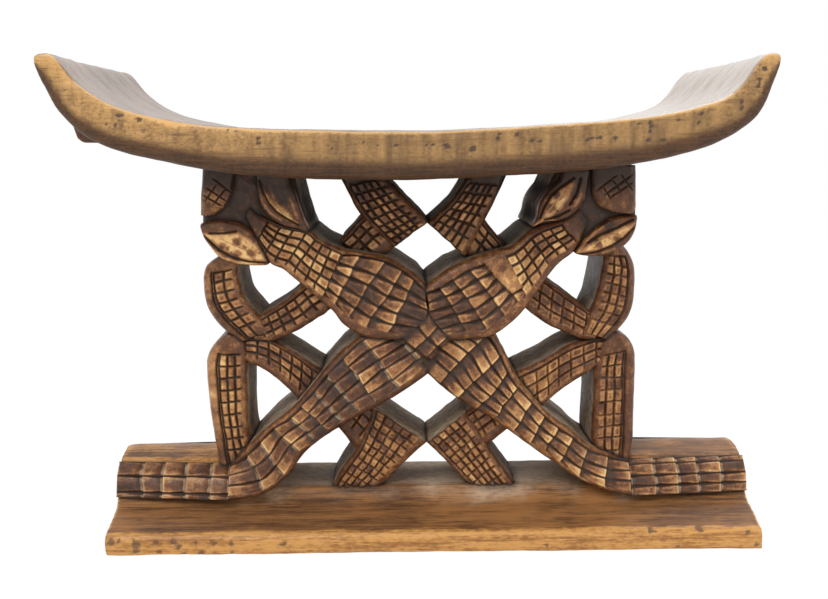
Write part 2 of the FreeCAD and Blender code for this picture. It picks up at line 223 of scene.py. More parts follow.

# %% [markdown]
# ## The openwork's finish
# The carver stained the openwork dark and waxed it. Hands and cloths then rubbed the stain
# off whatever stands proud, so the tops of the scales are golden, and the cuts are almost
# black, from stain and dirt and from shade painted into them. The meshes below carry three
# numbers for this: how worn a point is, how much dirt and painted shade sits in it, and
# whether it is an inner wall, which nobody touches and dust turns grey.
# Noise that is stretched along X breaks these up, because the block's grain runs that way.

# %% Carved wood
def carved_finish():
    finish = new_material("carved_wood")
    broad = finish.noise((30, 30, 30), 2.0)
    blotch = finish.noise((180, 180, 180), 4.0)
    fine = finish.noise((600, 600, 600), 4.0, 0.65)
    grain = finish.noise((100, 1100, 1100), 4.0)
    wear = finish.attribute("wear")
    dirt = finish.attribute("dirt")
    wall = finish.attribute("wall")
    tone = wear + 0.35 * (broad - 0.5) + 1.0 * (blotch - 0.5) + 0.7 * (fine - 0.5)
    worn = tone.rises(0.3, 0.85)
    colour = finish.blend((0.044, 0.021, 0.011), (0.135, 0.05, 0.019), tone.rises(-0.1, 0.4))
    colour = finish.blend(colour, (0.41, 0.19, 0.068), tone.rises(0.3, 0.75))
    colour = finish.blend(colour, (0.86, 0.53, 0.22), tone.rises(0.7, 1.2))
    mottle = (blotch * 0.6 + broad * 0.4).rises(0.35, 0.65)
    dust = finish.blend((0.2, 0.135, 0.083), (0.47, 0.36, 0.25), mottle)
    colour = finish.blend(colour, dust, (wall + 0.9 * (blotch - 0.5)).rises(0.2, 0.75) * 0.9)
    # dirt and painted shade: the floors of cuts and the corners between members go almost black
    colour = finish.blend(colour, (0.03, 0.017, 0.01), dirt.rises(0.08, 0.8) * 0.94)
    height = grain * 0.45 + fine * 0.55
    return finish.surface({
        "Base Color": colour,
        "Roughness": 0.4 - worn * 0.1 + wall * 0.36 + dirt * 0.3,
        "Specular IOR Level": 0.36,
        "Normal": finish.bump(height, 0.0006, 0.6),
    })


carved_wood = carved_finish()
print("nodes in the carved finish:", len(carved_wood.node_tree.nodes))

# %% [markdown]
# ## The seat's and the base's finish
# Seat and base are smooth, so their own shape says where they are worn. The seat's front
# band is golden with an upright ripple in the figure, its lower edge and underside are dark,
# and its top is a grey brown whose coat mirrors the bright room at a flat angle, with a painted
# reflection as well: its colour turns paler towards the right end. The base has a golden lip, a
# brown slope with streaks along the grain, and a dusty middle whose pale colour is partly
# painted light on its shade.

# %% Seat wood
def seat_finish():
    finish = new_material("seat_wood")
    cloud = finish.noise((16, 16, 16), 4.0)
    ripple = finish.noise((120, 8, 14), 3.0)
    grain = finish.noise((24, 520, 520), 5.0)
    speckle = finish.noise((340, 520, 520), 4.0, 0.7)
    edge = finish.attribute("edge")
    mark = finish.attribute("mark")
    low = finish.attribute("low")
    gold = finish.attribute("gold")
    figure = ripple * 0.85 + speckle * 0.65 + grain * 0.25
    band = finish.blend((0.15, 0.082, 0.035), (0.43, 0.245, 0.092), figure.rises(0.58, 1.12))
    glowing = gold + 1.2 * (speckle - 0.5) + 0.8 * (cloud - 0.5) + 0.5 * (ripple - 0.5)
    band = finish.blend(band, (0.68, 0.385, 0.14), glowing.rises(0.25, 1.15) * 0.85)
    streak = (grain + 0.4 * (speckle - 0.5)).rises(0.52, 0.78)
    band = finish.blend(band, (0.11, 0.055, 0.026), streak * 0.8)
    rim = (edge + 0.6 * (cloud - 0.5) + 0.6 * (speckle - 0.5)).rises(0.3, 0.95)
    band = finish.blend(band, (0.74, 0.425, 0.155), rim * 0.85)
    under = finish.blend((0.035, 0.015, 0.007), (0.105, 0.045, 0.018),
                         (grain * 0.6 + speckle * 0.4).rises(0.35, 0.65))
    lower = low + 0.35 * (cloud - 0.5) + 0.45 * (grain - 0.5) + 0.25 * (ripple - 0.5)
    lower = lower.rises(0.05, 0.75)
    colour = finish.blend(band, under, lower * 0.95)
    top = finish.blend((0.1, 0.055, 0.031), (0.27, 0.165, 0.1),
                       (grain * 0.55 + cloud * 0.45).rises(0.35, 0.68))
    spot = finish.node("ShaderNodeTexCoord", {}, {}, "Object")
    to_right = finish.node("ShaderNodeSeparateXYZ", {}, {"Vector": spot}, 0).rises(-0.02, 0.16)
    # painted reflection: the top is paler towards the right end, standing for the bright room mirrored
    # there
    top = finish.blend(top, (0.44, 0.325, 0.23), to_right * (0.5 + 0.5 * grain))
    upper = finish.attribute("top").rises(0.2, 0.8)
    colour = finish.blend(colour, top, upper)
    mark = (mark + 1.0 * (speckle - 0.5)).rises(0.3, 0.8)
    colour = finish.blend(colour, (0.06, 0.036, 0.027), mark * 0.85)
    return finish.surface({
        "Base Color": colour,
        "Roughness": 0.36 + grain * 0.12 + mark * 0.2 + lower * 0.12,
        "Specular IOR Level": 0.32,
        "Coat Weight": upper * (0.45 + to_right * 0.55),
        "Coat Roughness": 0.19,
        "Normal": finish.bump((grain + speckle) * (0.5 - 0.38 * upper) - mark, 0.0006, 0.4),
    })


seat_wood = seat_finish()
print("nodes in the seat's finish:", len(seat_wood.node_tree.nodes))

# %% [markdown]
# The base is the same wood under the same hands, but shoes, brooms and the floor wear it. Its
# lip is rubbed to gold and bruised, and dust lies on the deck, where a cloth can't reach; the
# deck's pale colour is also painted light, lifting the shade that the openwork casts on it.

# %% Base wood
def base_finish():
    finish = new_material("base_wood")
    cloud = finish.noise((16, 16, 16), 4.0)
    streak = finish.noise((11, 190, 190), 5.0)
    grain = finish.noise((40, 900, 900), 4.0)
    lip = finish.attribute("lip")
    dust = finish.attribute("dust")
    dirt = finish.attribute("dirt")
    mark = finish.attribute("mark")
    speckle = finish.noise((150, 420, 420), 4.0, 0.65)
    slope = finish.blend((0.085, 0.038, 0.018), (0.31, 0.14, 0.05),
                         (streak * 0.6 + grain * 0.2 + speckle * 0.2).rises(0.36, 0.64))
    slope = finish.blend(slope, (0.42, 0.19, 0.062),
                         (cloud * 0.6 + grain * 0.4).rises(0.47, 0.62) * 0.7)
    # dust and painted light: the deck's pale colour lifts the shade that the openwork casts on it
    deck_dust_and_painted_light = finish.blend((0.31, 0.215, 0.14), (0.66, 0.51, 0.36),
                        (cloud * 0.4 + speckle * 0.6).rises(0.36, 0.62))
    colour = finish.blend(slope, deck_dust_and_painted_light, (dust + 0.9 * (cloud - 0.5)).rises(0.3, 0.9) * 0.8)
    gold = finish.blend((0.33, 0.14, 0.04), (0.69, 0.35, 0.105),
                        (streak * 0.6 + 0.4 * grain + 0.5 * (speckle - 0.5)).rises(0.34, 0.6))
    lip_edge = lip + 0.6 * (cloud - 0.5) + 0.3 * (streak - 0.5) + 0.3 * (speckle - 0.5)
    lip_edge = lip_edge.rises(0.35, 0.7)
    colour = finish.blend(colour, gold, lip_edge)
    mark = (mark + 1.0 * (speckle - 0.5)).rises(0.2, 0.75)
    colour = finish.blend(colour, (0.13, 0.072, 0.042), mark * 0.85)
    # dirt and painted shade: only the corners near the carving carry this
    colour = finish.blend(colour, (0.03, 0.02, 0.014), dirt * 0.85)
    return finish.surface({
        "Base Color": colour,
        "Roughness": 0.5 - lip_edge * 0.1 + dust * 0.15,
        "Specular IOR Level": 0.34,
        "Normal": finish.bump(grain * 0.5 + streak * 0.5 - mark, 0.0006, 0.5),
    })


base_wood = base_finish()
print("nodes in the base's finish:", len(base_wood.node_tree.nodes))

# %% [markdown]
# ## Meshes from grids
# Every carved member is a limb: a front face and an equal back face, with straight walls
# between them. Its front is a grid of lines that go across the limb, called ribs, and
# columns that run along it. Sculpting by hand would be freer, but a grid puts a row of
# points exactly on the floor of each cut, so that the cuts stay crisp with few polygons.

# %% Grid helpers
mm = 0.001


def unit(values):
    """Values kept between 0 and 1."""
    return np.clip(values, 0, 1)


def ripple_of(points, size, seed):
    """A smooth unevenness of -1 to 1 at points, in waves of about a size in metres."""
    waves = np.random.default_rng(seed)
    total = np.zeros(points.shape[:-1])
    wave_count = 7
    for _ in range(wave_count):
        direction = waves.normal(size=3)
        direction /= np.linalg.norm(direction)
        stretch = waves.uniform(0.7, 1.5)
        total += np.sin(points @ direction * (2 * math.pi * stretch / size)
                        + waves.uniform(0, 2 * math.pi))
    return total / math.sqrt(wave_count)


def mesh_object(name, points, faces, numbers, material, sharp_angle=36):
    """A mesh object with numbers at its points, shaded smooth but for sharp edges."""
    mesh = bpy.data.meshes.new(name)
    mesh.from_pydata(points.tolist(), [], faces)
    for number_name, values in numbers.items():
        attribute = mesh.attributes.new(number_name, "FLOAT", "POINT")
        attribute.data.foreach_set("value", np.asarray(values, np.float32))
    mesh.polygons.foreach_set("use_smooth", [True] * len(mesh.polygons))
    mesh.set_sharp_from_angle(angle=math.radians(sharp_angle))
    mesh.materials.append(material)
    made = bpy.data.objects.new(name, mesh)
    bpy.context.scene.collection.objects.link(made)
    return made


def stops(length, groove, pitch):
    """Shares along a cell from one cut's floor to the next, with points at their rims."""
    rim = min(groove / length, 0.3)
    worn = min((groove + 0.7 * mm) / length, 0.42)
    count = max(1, round((1 - 2 * worn) * length / pitch))
    inner = np.linspace(worn, 1 - worn, count + 1)
    return np.concatenate(([0.0, rim], inner, [1 - rim]))


def spread(lattice_line, index, share):
    """Points between the rows of a lattice, on smooth curves through them."""
    last = len(lattice_line) - 1
    before, after, beyond = (np.clip(index + step, 0, last) for step in (-1, 1, 2))
    p0, p1, p2, p3 = (lattice_line[i] for i in (before, index, after, beyond))
    t = share.reshape(-1, *([1] * (lattice_line.ndim - 1)))
    return 0.5 * (2 * p1 + (p2 - p0) * t + (2 * p0 - 5 * p1 + 4 * p2 - p3) * t ** 2
                  + (3 * p1 - 3 * p2 + p3 - p0) * t ** 3)


def off_run(points, first, second):
    """How far points are from a straight run, and how far along it their nearest places are."""
    run = second - first
    share = unit((points - first) @ run / (run @ run))
    return np.linalg.norm(points - first - share[..., None] * run, axis=-1), share


def facing_out(points):
    """Unit normals of a grid of points, on the side that faces the front."""
    normal = np.cross(np.gradient(points, axis=0), np.gradient(points, axis=1))
    normal /= np.linalg.norm(normal, axis=2, keepdims=True) + 1e-12
    return normal * np.where(normal[..., 1:2] > 0, -1, 1)


print("points along a 6 mm cell:", stops(0.006, 0.0015, 0.0013).round(2))

# %% [markdown]
# ## One limb
# A cell of a leg is a small cushion with a V cut all round it. A cell of a trunk or a tail
# is a shingle: it starts in a scooped hollow and rises to a golden end that stands over the
# next one. A small class names each kind of carving and fills in the usual values, so that
# every kind says only what is special about it.

# %% Kinds of carving
class Carving:
    """How a member's cells are cut: lengths, given in millimetres, and plain shares."""

    lengths = {"groove": 1.5, "depth": 1.9, "scoop": 0.0, "jitter": 0.5, "dome": 0.8,
               "pillow": 0.4, "pitch": 1.3}
    # grime_and_shade sets how dark the floors of the cuts are painted, for dirt and shade together
    shares = {"knee": 0.3, "gold": 0.36, "dusty": 0.0, "grime_and_shade": 1.35}

    def __init__(self, **chosen):
        for name, usual in self.lengths.items():
            setattr(self, name, chosen.get(name, usual) * mm)
        for name, usual in self.shares.items():
            setattr(self, name, chosen.get(name, usual))


leg_carving = Carving(groove=1.55, depth=2.0, gold=0.42, pillow=0.5, pitch=1.1, grime_and_shade=0.95)
dusty_leg_carving = Carving(groove=1.4, gold=0.43, pillow=0.5, pitch=1.1, grime_and_shade=0.6)
neck_carving = Carving(groove=1.4, depth=2.0, gold=0.58, pitch=1.1, grime_and_shade=1.1)
chest_carving = Carving(groove=1.7, depth=2.8, scoop=1.7, knee=0.18, jitter=1.2, gold=0.5,
                        dome=1.8, pillow=0.6)
trunk_carving = Carving(groove=1.6, depth=2.6, scoop=2.6, knee=0.34, jitter=1.1, gold=0.66,
                        dome=1.8, grime_and_shade=1.1)
worn_carving = Carving(groove=1.4, depth=2.4, scoop=1.7, knee=0.2, jitter=1.2, gold=0.63,
                       dome=1.8, pillow=0.6, dusty=0.7, grime_and_shade=0.78)
tail_carving = Carving(groove=1.3, depth=2.3, scoop=1.5, knee=0.16, jitter=1.0, gold=0.48,
                       dusty=0.9)
faint_carving = Carving(groove=0.8, depth=0.8, gold=0.5, pitch=0.8)
wall_pitch = 9 * mm
edge_round = 6 * mm
rail_fade = 3.5 * mm
end_bevel = 1.0 * mm
print("a leg's cut is", round(2 * leg_carving.groove / mm, 1), "mm wide at its top")

# %% [markdown]
# Wear isn't even. Some places are rubbed more than others, some spots are painted highlights
# and painted shade, and the parts just under the seat are painted darker. A painter would glaze
# these by eye; here each place is a spot with a radius and an amount, and the same spots serve the back.

# %% Rubbed places, painted highlights and shade
# spots of rubbed wear, painted highlights and painted shade, each a pixel, a radius and an amount
rub_and_light_spots = (
    ((240, 250), 34, 0.15), ((305, 268), 34, 0.2), ((352, 262), 26, 0.12), ((500, 292), 34, 0.22),
    ((470, 268), 26, 0.1), ((515, 395), 44, 0.2), ((580, 468), 30, 0.15), ((222, 292), 34, 0.08),
    ((222, 395), 60, 0.08), ((180, 476), 50, 0.12), ((272, 425), 40, 0.14), ((556, 440), 30, 0.12),
    ((700, 472), 60, 0.1), ((380, 470), 34, 0.12), ((455, 470), 34, 0.12), ((582, 205), 20, 0.1),
    ((330, 410), 50, -0.2), ((230, 205), 40, -0.12), ((427, 345), 34, -0.05),
    ((620, 300), 50, -0.04), ((510, 282), 11, 0.35), ((211, 368), 13, 0.42), ((211, 398), 13, 0.45),
    ((216, 430), 13, 0.35), ((208, 290), 12, 0.12), ((258, 217), 12, -0.2), ((577, 216), 12, -0.2),
    ((212, 199), 18, 0.4),
)
rub_and_light_plane = -0.06
# a band just under the seat is painted darker
under_seat_dark_height, under_seat_dark_fade, under_seat_dark_amount = 0.282, 0.021, 0.6


def rub_and_light(points):
    """How much lighter or darker a place is painted, from rubbing, painted highlights and shade, and
    darker just under the seat; the same on both sides.
    """
    flat = points * (1, 0, 1)
    total = np.zeros(points.shape[:-1])
    for spot, radius, amount in rub_and_light_spots:
        centre, rim = on_plane((spot, (spot[0] + radius, spot[1])), rub_and_light_plane)
        reach = rim[0] - centre[0]
        gap = np.linalg.norm(flat - centre * (1, 0, 1), axis=-1)
        total += amount * np.exp(-(gap / reach) ** 2)
    # darker just under the seat
    return total - under_seat_dark_amount * unit((points[..., 2] - under_seat_dark_height) / under_seat_dark_fade)


# the spots are rubbed places and painted highlights and shade; the band under the seat is darker
print("rubbed and sooty places:", len(rub_and_light_spots))

# %% [markdown]
# Now the face itself. Ribs are traced as pixels of the photograph, columns are shares along
# them, and each crossing gets its place on the limb's own front plane, whose depth comes
# from the CAD node. Crossings are nudged a little by seeded chance, since a knife never
# cuts two cells alike. Grid lines crowd together where a cut has its floor and its rims.

# %% A limb's face
def rib_line(rib, depths, column_shares):
    """Points along one rib at the columns' shares, from a few traced pixels and depths."""
    places = np.linspace(0, 1, len(rib))
    pixels = np.stack([np.interp(column_shares, places, axis) for axis in np.transpose(rib)], 1)
    depth_along = np.interp(column_shares, np.linspace(0, 1, len(depths)), depths)
    return on_plane(pixels, depth_along)


def limb_front(ribs, columns, plain, depths, carving, edge, seed, last_line):
    """One face of a limb: its points, and how worn and how dirty each point is."""
    chance = np.random.default_rng(seed)
    columns = np.asarray(columns, float)
    lattice = np.stack([rib_line(rib, depth, columns) for rib, depth in zip(ribs, depths)])
    shift = chance.uniform(-1, 1, lattice.shape[:2]) * carving.jitter
    shift[:, [0, -1]] = 0
    if last_line is not None:
        lattice[-1] = last_line(columns)
        shift[-1] = 0
    lattice[..., 0] += shift
    lattice[..., 2] += np.roll(shift, 1, axis=0) * (shift != 0)
    row, along, column, across, *cell_sizes = grid_over(lattice, carving)
    ribbed = spread(lattice, row, along)
    left_line, right_line = ribbed[:, column], ribbed[:, np.minimum(column + 1, len(columns) - 1)]
    points = left_line + (right_line - left_line) * across[None, :, None]
    height, numbers = cell_cuts(row, along, column, across, *cell_sizes, plain, carving, chance)
    to_side = side_distance(points, columns, column, across)
    fade = unit(to_side / rail_fade)
    if not isinstance(edge, float):
        edge = np.interp(row + along, np.arange(len(edge)), edge)[:, None]
    arris = unit(1 - np.abs(to_side - 0.35 * edge) / (0.3 * edge))
    numbers["dirt"] *= fade
    numbers["wear"] += 0.07 * arris + rub_and_light(points)
    return rounded(points, to_side, height * fade, carving, edge), numbers


def side_distance(points, columns, column, across):
    """How far each point of a face is from the nearer side of the limb."""
    share = columns[column] + np.diff(columns, append=1.0)[column] * across
    share[-1] = 1.0
    width = np.linalg.norm(points[:, -1] - points[:, 0], axis=1)[:, None]
    return np.minimum(share, 1 - share)[None, :] * width


def grid_over(lattice, carving):
    """Where grid lines run over a lattice: rows, columns, and the lengths of its cells' sides."""
    row_lengths = np.linalg.norm(np.diff(lattice, axis=0), axis=2)
    column_lengths = np.linalg.norm(np.diff(lattice, axis=1), axis=2)
    rows = lay_out(row_lengths.mean(axis=1), carving)
    columns = lay_out(column_lengths.mean(axis=0), carving)
    return (*rows, *columns, row_lengths, column_lengths)


def lay_out(lengths, carving):
    """The cell and the share within it of every grid line, for cells of given lengths."""
    cells, shares = [], []
    for cell, length in enumerate(lengths):
        marks = stops(length, carving.groove, carving.pitch)
        cells += [cell] * len(marks)
        shares += list(marks)
    cells.append(len(lengths) - 1)
    shares.append(1.0)
    return np.array(cells), np.array(shares)


view_edges = rib_line(((0, 300), (photo_width, 300)), (0.0, 0.0), np.array((0.0, 1.0)))
print("the photograph spans", round(float(np.ptp(view_edges[:, 0])), 3), "m at the stool's middle")

# %% [markdown]
# Every point of a face knows its cell and its place in it, `a` along and `b` across. From
# these come a height and three numbers: a V cut is dark at its floor, from dirt and from painted
# shade, a rim is golden, and each cell leans, sinks and shines a little differently. One
# formula over whole arrays is much faster than visiting the points one by one.

# %% Cuts in the cells
def cell_cuts(row, along, column, across, row_lengths, column_lengths, plain, carving, chance):
    """Height and numbers of every point of a face, from its place in its cell."""
    cell_shape = (row_lengths.shape[0], column_lengths.shape[1])
    grid = np.ix_(row, column)
    a, b = along[:, None], across[None, :]
    length = ((row_lengths[:, :-1] + row_lengths[:, 1:]) / 2)[grid]
    width = ((column_lengths[:-1] + column_lengths[1:]) / 2)[grid]
    is_carved = (1 - plain_cells(cell_shape, plain))[grid]
    deep = chance.uniform(0.75, 1.2, cell_shape)[grid] * carving.depth
    to_column = np.minimum(b, 1 - b) * width
    to_rib = np.minimum(a, 1 - a) * length
    if carving.scoop:
        wedge = carving.groove * (2.0 - 1.5 * a)
        side_cut = unit(1 - to_column / wedge)
        side_depth = side_cut * deep * (1.2 - 0.85 * a)
        knee = carving.knee + 0.6 * carving.knee * np.sin(math.pi * unit(b))
        end_cut = unit(1 - (1 - a) * length / (0.5 * carving.groove))
        hollow = unit(1 - a / knee)
        rib_depth = np.maximum(hollow, end_cut) * carving.scoop
        rib_dirt_and_shade = np.maximum(unit(1.4 * hollow - 0.4) * 0.5, end_cut * 0.7)
        rise = unit((a - 0.6 * knee) / (1 - 0.6 * knee))
        bright = 0.55 + 0.6 * rise ** 0.7 - 0.45 * hollow
        from_end = (1 - a) * length
        rim = unit(1 - np.abs(from_end - 1.1 * carving.groove) / (1.2 * mm))
        rim = np.maximum(rim, 0.6 * unit(1 - np.abs(to_column - 1.2 * wedge) / mm))
    else:
        side_cut = unit(1 - to_column / carving.groove)
        side_depth = side_cut * deep
        hollow = unit(1 - to_rib / carving.groove)
        rib_depth = hollow * deep
        rib_dirt_and_shade = hollow
        bright = 1.0
        to_cut = np.minimum(to_rib, to_column)
        rim = unit(1 - np.abs(to_cut - 1.35 * carving.groove) / mm)
    tilt_along, tilt_across, sink = chance.uniform(-1, 1, (3, *cell_shape))
    proud = unit(np.minimum(to_rib, to_column) / (2 * carving.groove))
    lean = (tilt_along[grid] * (a - 0.5) + tilt_across[grid] * (b - 0.5)) * 1.1
    cushion = (1 - (2 * a - 1) ** 2) * (1 - (2 * b - 1) ** 2)
    height = (-np.maximum(rib_depth, side_depth) + (cushion - 1) * carving.pillow * proud
              + (lean + sink[grid] * 0.5) * 0.6 * mm * proud)
    golden = carving.gold * chance.uniform(0.55, 1.35, cell_shape)[grid]
    rim_gain = 0.5 if carving.scoop else 0.34
    rim_glow = rim_gain * rim * chance.uniform(0.3, 1.3, cell_shape)[grid]
    wear = golden * bright + rim_glow + 0.28 * lean
    pool = 0.3 if carving.scoop else 0.13
    wear -= pool * cushion * chance.uniform(0, 1, cell_shape)[grid]
    wear = wear * unit(1.2 - side_cut)
    # dirt and painted shade at the floors of the cuts
    dirt = unit(carving.grime_and_shade * np.maximum(side_cut, rib_dirt_and_shade * (1 - carving.dusty)))
    wall = carving.dusty * unit(1.9 - to_rib / mm)
    plain_wear = 0.3
    return height * is_carved, {"wear": np.where(is_carved > 0, wear, plain_wear),
                                "dirt": dirt * is_carved, "wall": wall * is_carved}


def plain_cells(shape, plain):
    """1 for each cell that is left uncut: whole columns, or (row, column) pairs."""
    chosen = np.zeros(shape)
    for item in plain:
        if isinstance(item, tuple):
            chosen[item] = 1
        else:
            chosen[:, item] = 1
    return chosen


def rounded(points, to_side, height, carving, edge):
    """The face's points with its sides rolled off, and the cuts pushed in square to it."""
    reach = np.clip(edge - to_side, 0, edge)
    roll = edge - np.sqrt(edge ** 2 - reach ** 2)
    middle = to_side.max(axis=1, keepdims=True)
    crown = carving.dome * (1 - to_side / middle) ** 2
    points = points.copy()
    points[..., 1] += roll + crown
    uneven = ripple_of(points, 9 * mm, 3) * 0.1 * mm
    return points + facing_out(points) * (height + uneven)[..., None]


print("cells left plain in a leg of 2 rows:", plain_cells((2, 4), (0, 3)).tolist())

# %% [markdown]
# ## Closing a limb
# A member must be a closed body, because the mesh is exported as a solid thing. The back is
# the front's mirror image, since the stool is carved alike on both sides. Walls join the
# two, uneven from the knife, and a cap closes each end inside the member's neighbour.

# %% Limb assembly
wall_numbers = {"wear": (0.16, 0.12), "dirt": (0.0, 0.0), "wall": (0.55, 1.0)}


def limb(ribs, columns, plain, depths, carving, edge=edge_round, seed=1, last_line=None):
    """A closed limb as points, faces and numbers."""
    if not isinstance(depths, list):
        depths = [(depths, depths)] * len(ribs)
    front, face = limb_front(ribs, columns, plain, depths, carving, edge, seed, last_line)
    back = front * (1, -1, 1)
    rows, across_count = front.shape[:2]
    gap = (back[:, 0, 1] - front[:, 0, 1]).min()
    near = np.array((1.5, 4.0, 8.0)) * mm
    inner = np.linspace(near[-1], gap - near[-1], max(3, int(gap / wall_pitch)))[1:-1]
    places = np.concatenate((near, inner, gap - near[::-1]))
    shares = (places / gap)[None, :, None]
    inwards = unit(np.minimum(places, gap - places) / near[-1])
    walls = []
    for side in (-1, 0):
        run = front[:, side][:, None] * (1 - shares) + back[:, side][:, None] * shares
        outward = front[:, side] - front[:, -1 - side]
        outward[:, 1] = 0
        outward /= np.linalg.norm(outward, axis=1, keepdims=True)
        uneven = ripple_of(run, 16 * mm, seed + 5) * 0.32 * mm
        walls.append(run + outward[:, None] * uneven[..., None])
    loops = np.concatenate([front, walls[0], back[:, ::-1], walls[1][:, ::-1]], axis=1)
    numbers = {}
    for name, (at_edge, on_wall) in wall_numbers.items():
        side = np.tile(at_edge + (on_wall - at_edge) * inwards, (rows, 1))
        around = np.concatenate([face[name], side, face[name][:, ::-1], side], axis=1)
        end = np.full((1, around.shape[1]), on_wall)
        numbers[name] = np.concatenate([end, around, end]).ravel()
    loops = np.concatenate([end_ring(loops[0], loops[1]), loops, end_ring(loops[-1], loops[-2])])
    faces = tube_faces(rows + 2, loops.shape[1])
    for row in (0, rows + 1):
        faces += cap_faces(row, across_count, len(places), row > 0)
    return loops.reshape(-1, 3), faces, numbers


def end_ring(ring, neighbour):
    """A ring just beyond an end, drawn in a little, from which the end's wall starts."""
    onwards = (ring - neighbour) * (1, 0, 1)
    onwards /= np.linalg.norm(onwards, axis=1, keepdims=True) + 1e-9
    inwards = ring.mean(axis=0) - ring
    inwards /= np.linalg.norm(inwards, axis=1, keepdims=True)
    return (ring + (onwards * 0.6 + inwards) * end_bevel)[None]


def tube_faces(rows, around):
    """Quads of a grid whose rows are closed loops."""
    base = np.arange(rows - 1)[:, None] * around
    step = np.arange(around)[None, :]
    following = (step + 1) % around
    quads = np.stack([base + step, base + following, base + around + following,
                      base + around + step], axis=2)
    return quads.reshape(-1, 4).tolist()


def cap_faces(row, across_count, wall_count, is_last):
    """Faces that close a limb's end, from its front to its back."""
    around = 2 * across_count + 2 * wall_count
    start = row * around
    front = [start + i for i in range(across_count)]
    right_wall = [start + across_count + i for i in range(wall_count)]
    back = [start + across_count + wall_count + i for i in range(across_count)][::-1]
    left_wall = [start + 2 * across_count + wall_count + i for i in range(wall_count)][::-1]
    faces = [[front[0], *left_wall, back[0], back[1], front[1]]]
    for i in range(1, across_count - 2):
        faces.append([front[i], back[i], back[i + 1], front[i + 1]])
    faces.append([front[-2], back[-2], back[-1], *right_wall[::-1], front[-1]])
    return [face[::-1] for face in faces] if is_last else faces


def joined(bodies):
    """Several closed bodies as one set of points, faces and numbers."""
    points, faces, numbers = [], [], {}
    offset = 0
    for body_points, body_faces, body_numbers in bodies:
        points.append(body_points)
        faces += [[i + offset for i in face] for face in body_faces]
        for name, values in body_numbers.items():
            numbers.setdefault(name, []).append(values)
        offset += len(body_points)
    return (np.concatenate(points), faces,
            {name: np.concatenate(values) for name, values in numbers.items()})


print("faces of a tube with 3 rows of 8 points:", len(tube_faces(3, 8)))

# %% [markdown] One CAD node may need several bodies, such as a neck and a chest. The
# outermost walls are where hands lift the stool, so they lose their dust there and show
# rubbed brown wood instead.

# %% A piece for a node
carved_pieces = []
handled_from, handled_fade = 0.149, 0.008
handled_above = 0.07


def handled(points, numbers):
    """The stool's outermost walls, where hands lift it, lose their dust and are rubbed."""
    outermost = unit((np.abs(points[:, 0]) - handled_from) / handled_fade)
    share = outermost * (points[:, 2] > handled_above) * unit(4 * numbers["wall"] - 1)
    numbers["wear"] = numbers["wear"] + 0.2 * share
    numbers["wall"] = numbers["wall"] * (1 - 0.8 * share)


def carve(node, bodies):
    """Makes the piece that stands for a CAD node."""
    points, faces, numbers = joined(bodies)
    handled(points, numbers)
    piece = mesh_object(node + "_carved", points, faces, numbers, carved_wood)
    outward_faces(piece)
    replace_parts(piece, node)
    carved_pieces.append(piece)
    return piece


def outward_faces(piece):
    """Turns all faces of a closed piece outwards."""
    work = bmesh.new()
    work.from_mesh(piece.data)
    bmesh.ops.recalc_face_normals(work, faces=work.faces)
    work.to_mesh(piece.data)
    work.free()
    piece.data.update()


def front_depth(node):
    """The Y of a CAD node's front face."""
    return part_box(node)[0].y


def sunk(depth, sinks_mm):
    """A front plane for each rib, some millimetres deeper than a face."""
    return [(depth + sink * mm,) * 2 for sink in sinks_mm]


def uncut(columns, rows=0):
    """Cells that stay plain: both margins, and the first rows between them."""
    last = len(columns) - 2
    return (0, last, *((row, column) for row in range(rows) for column in range(1, last)))


print("plain cells of a neck with 7 columns:", uncut(range(8), 2))

# %% [markdown]
# ## Necks and chests
# The upper half of each crocodile runs from its head to the crossing. Its neck has small
# square cells and its chest has larger shingles. The left one's last rib bends along the
# line where the two chests meet, so that the two fit together like a mitre.

# %% Chests
chest_y = front_depth("left_croc_chest")
recess_y = front_depth("left_croc_head")
neck_sinks_mm = (7.5, 6.0, 3.5, 1.2)

left_chest_rails = (
    ((250, 203), (258, 211), (270, 220), (284, 226), (307, 229.5), (322, 241), (342.6, 250),
     (366, 253.5), (387, 257.5), (405, 267.5), (420, 278.5), (426.3, 286)),
    ((243, 222), (252, 236), (260, 254), (270, 264.8), (280, 268), (293, 278.5), (319, 300.5),
     (338, 317), (346, 330), (357, 336.5), (383, 340.5), (404, 341.5)))
right_chest_rails = (
    ((577, 205), (569, 214), (558, 221), (545, 224.5), (532, 229.5), (519, 240.5), (510, 247.5),
     (497, 250), (477, 257), (450, 268), (435, 279), (426.3, 286)),
    ((590, 224), (584, 240), (577, 251), (564, 260), (553, 271.5), (539, 291), (525, 311),
     (509, 327), (497, 336.5), (475, 340), (451, 341)))

left_neck_ribs = [
    ((253, 203), (243, 224)), ((260, 210), (250, 232)), ((269, 219), (256, 243)),
    ((281, 226), (263, 257)), ((294, 229), (272, 264.5)), ((308, 230.5), (282.5, 269.5)),
    ((316, 237.5), (292, 275.5)), ((323.5, 243.5), (303.5, 284)), ((332.5, 247.5), (312, 292.5)),
    ((343.5, 251), (321.5, 301)),
]
left_chest_ribs = [
    ((343.5, 251), (321.5, 301)), ((362.5, 253.5), (333, 311.5)), ((388, 259), (345.5, 324)),
    ((404.5, 268.5), (362, 337)), ((418, 278), (386, 339.5)),
    ((426.5, 286), (428, 317), (404, 341.5)),
]
right_neck_ribs = [
    ((577, 205), (590, 222)), ((568, 215), (584, 232)), ((559, 222), (577, 244)),
    ((547, 225), (569.5, 252)), ((537, 228), (562, 260)), ((528.5, 233), (553, 270.5)),
    ((520, 241), (545.5, 281.5)), ((511, 247), (537, 293)), ((503, 248.5), (529, 304)),
]
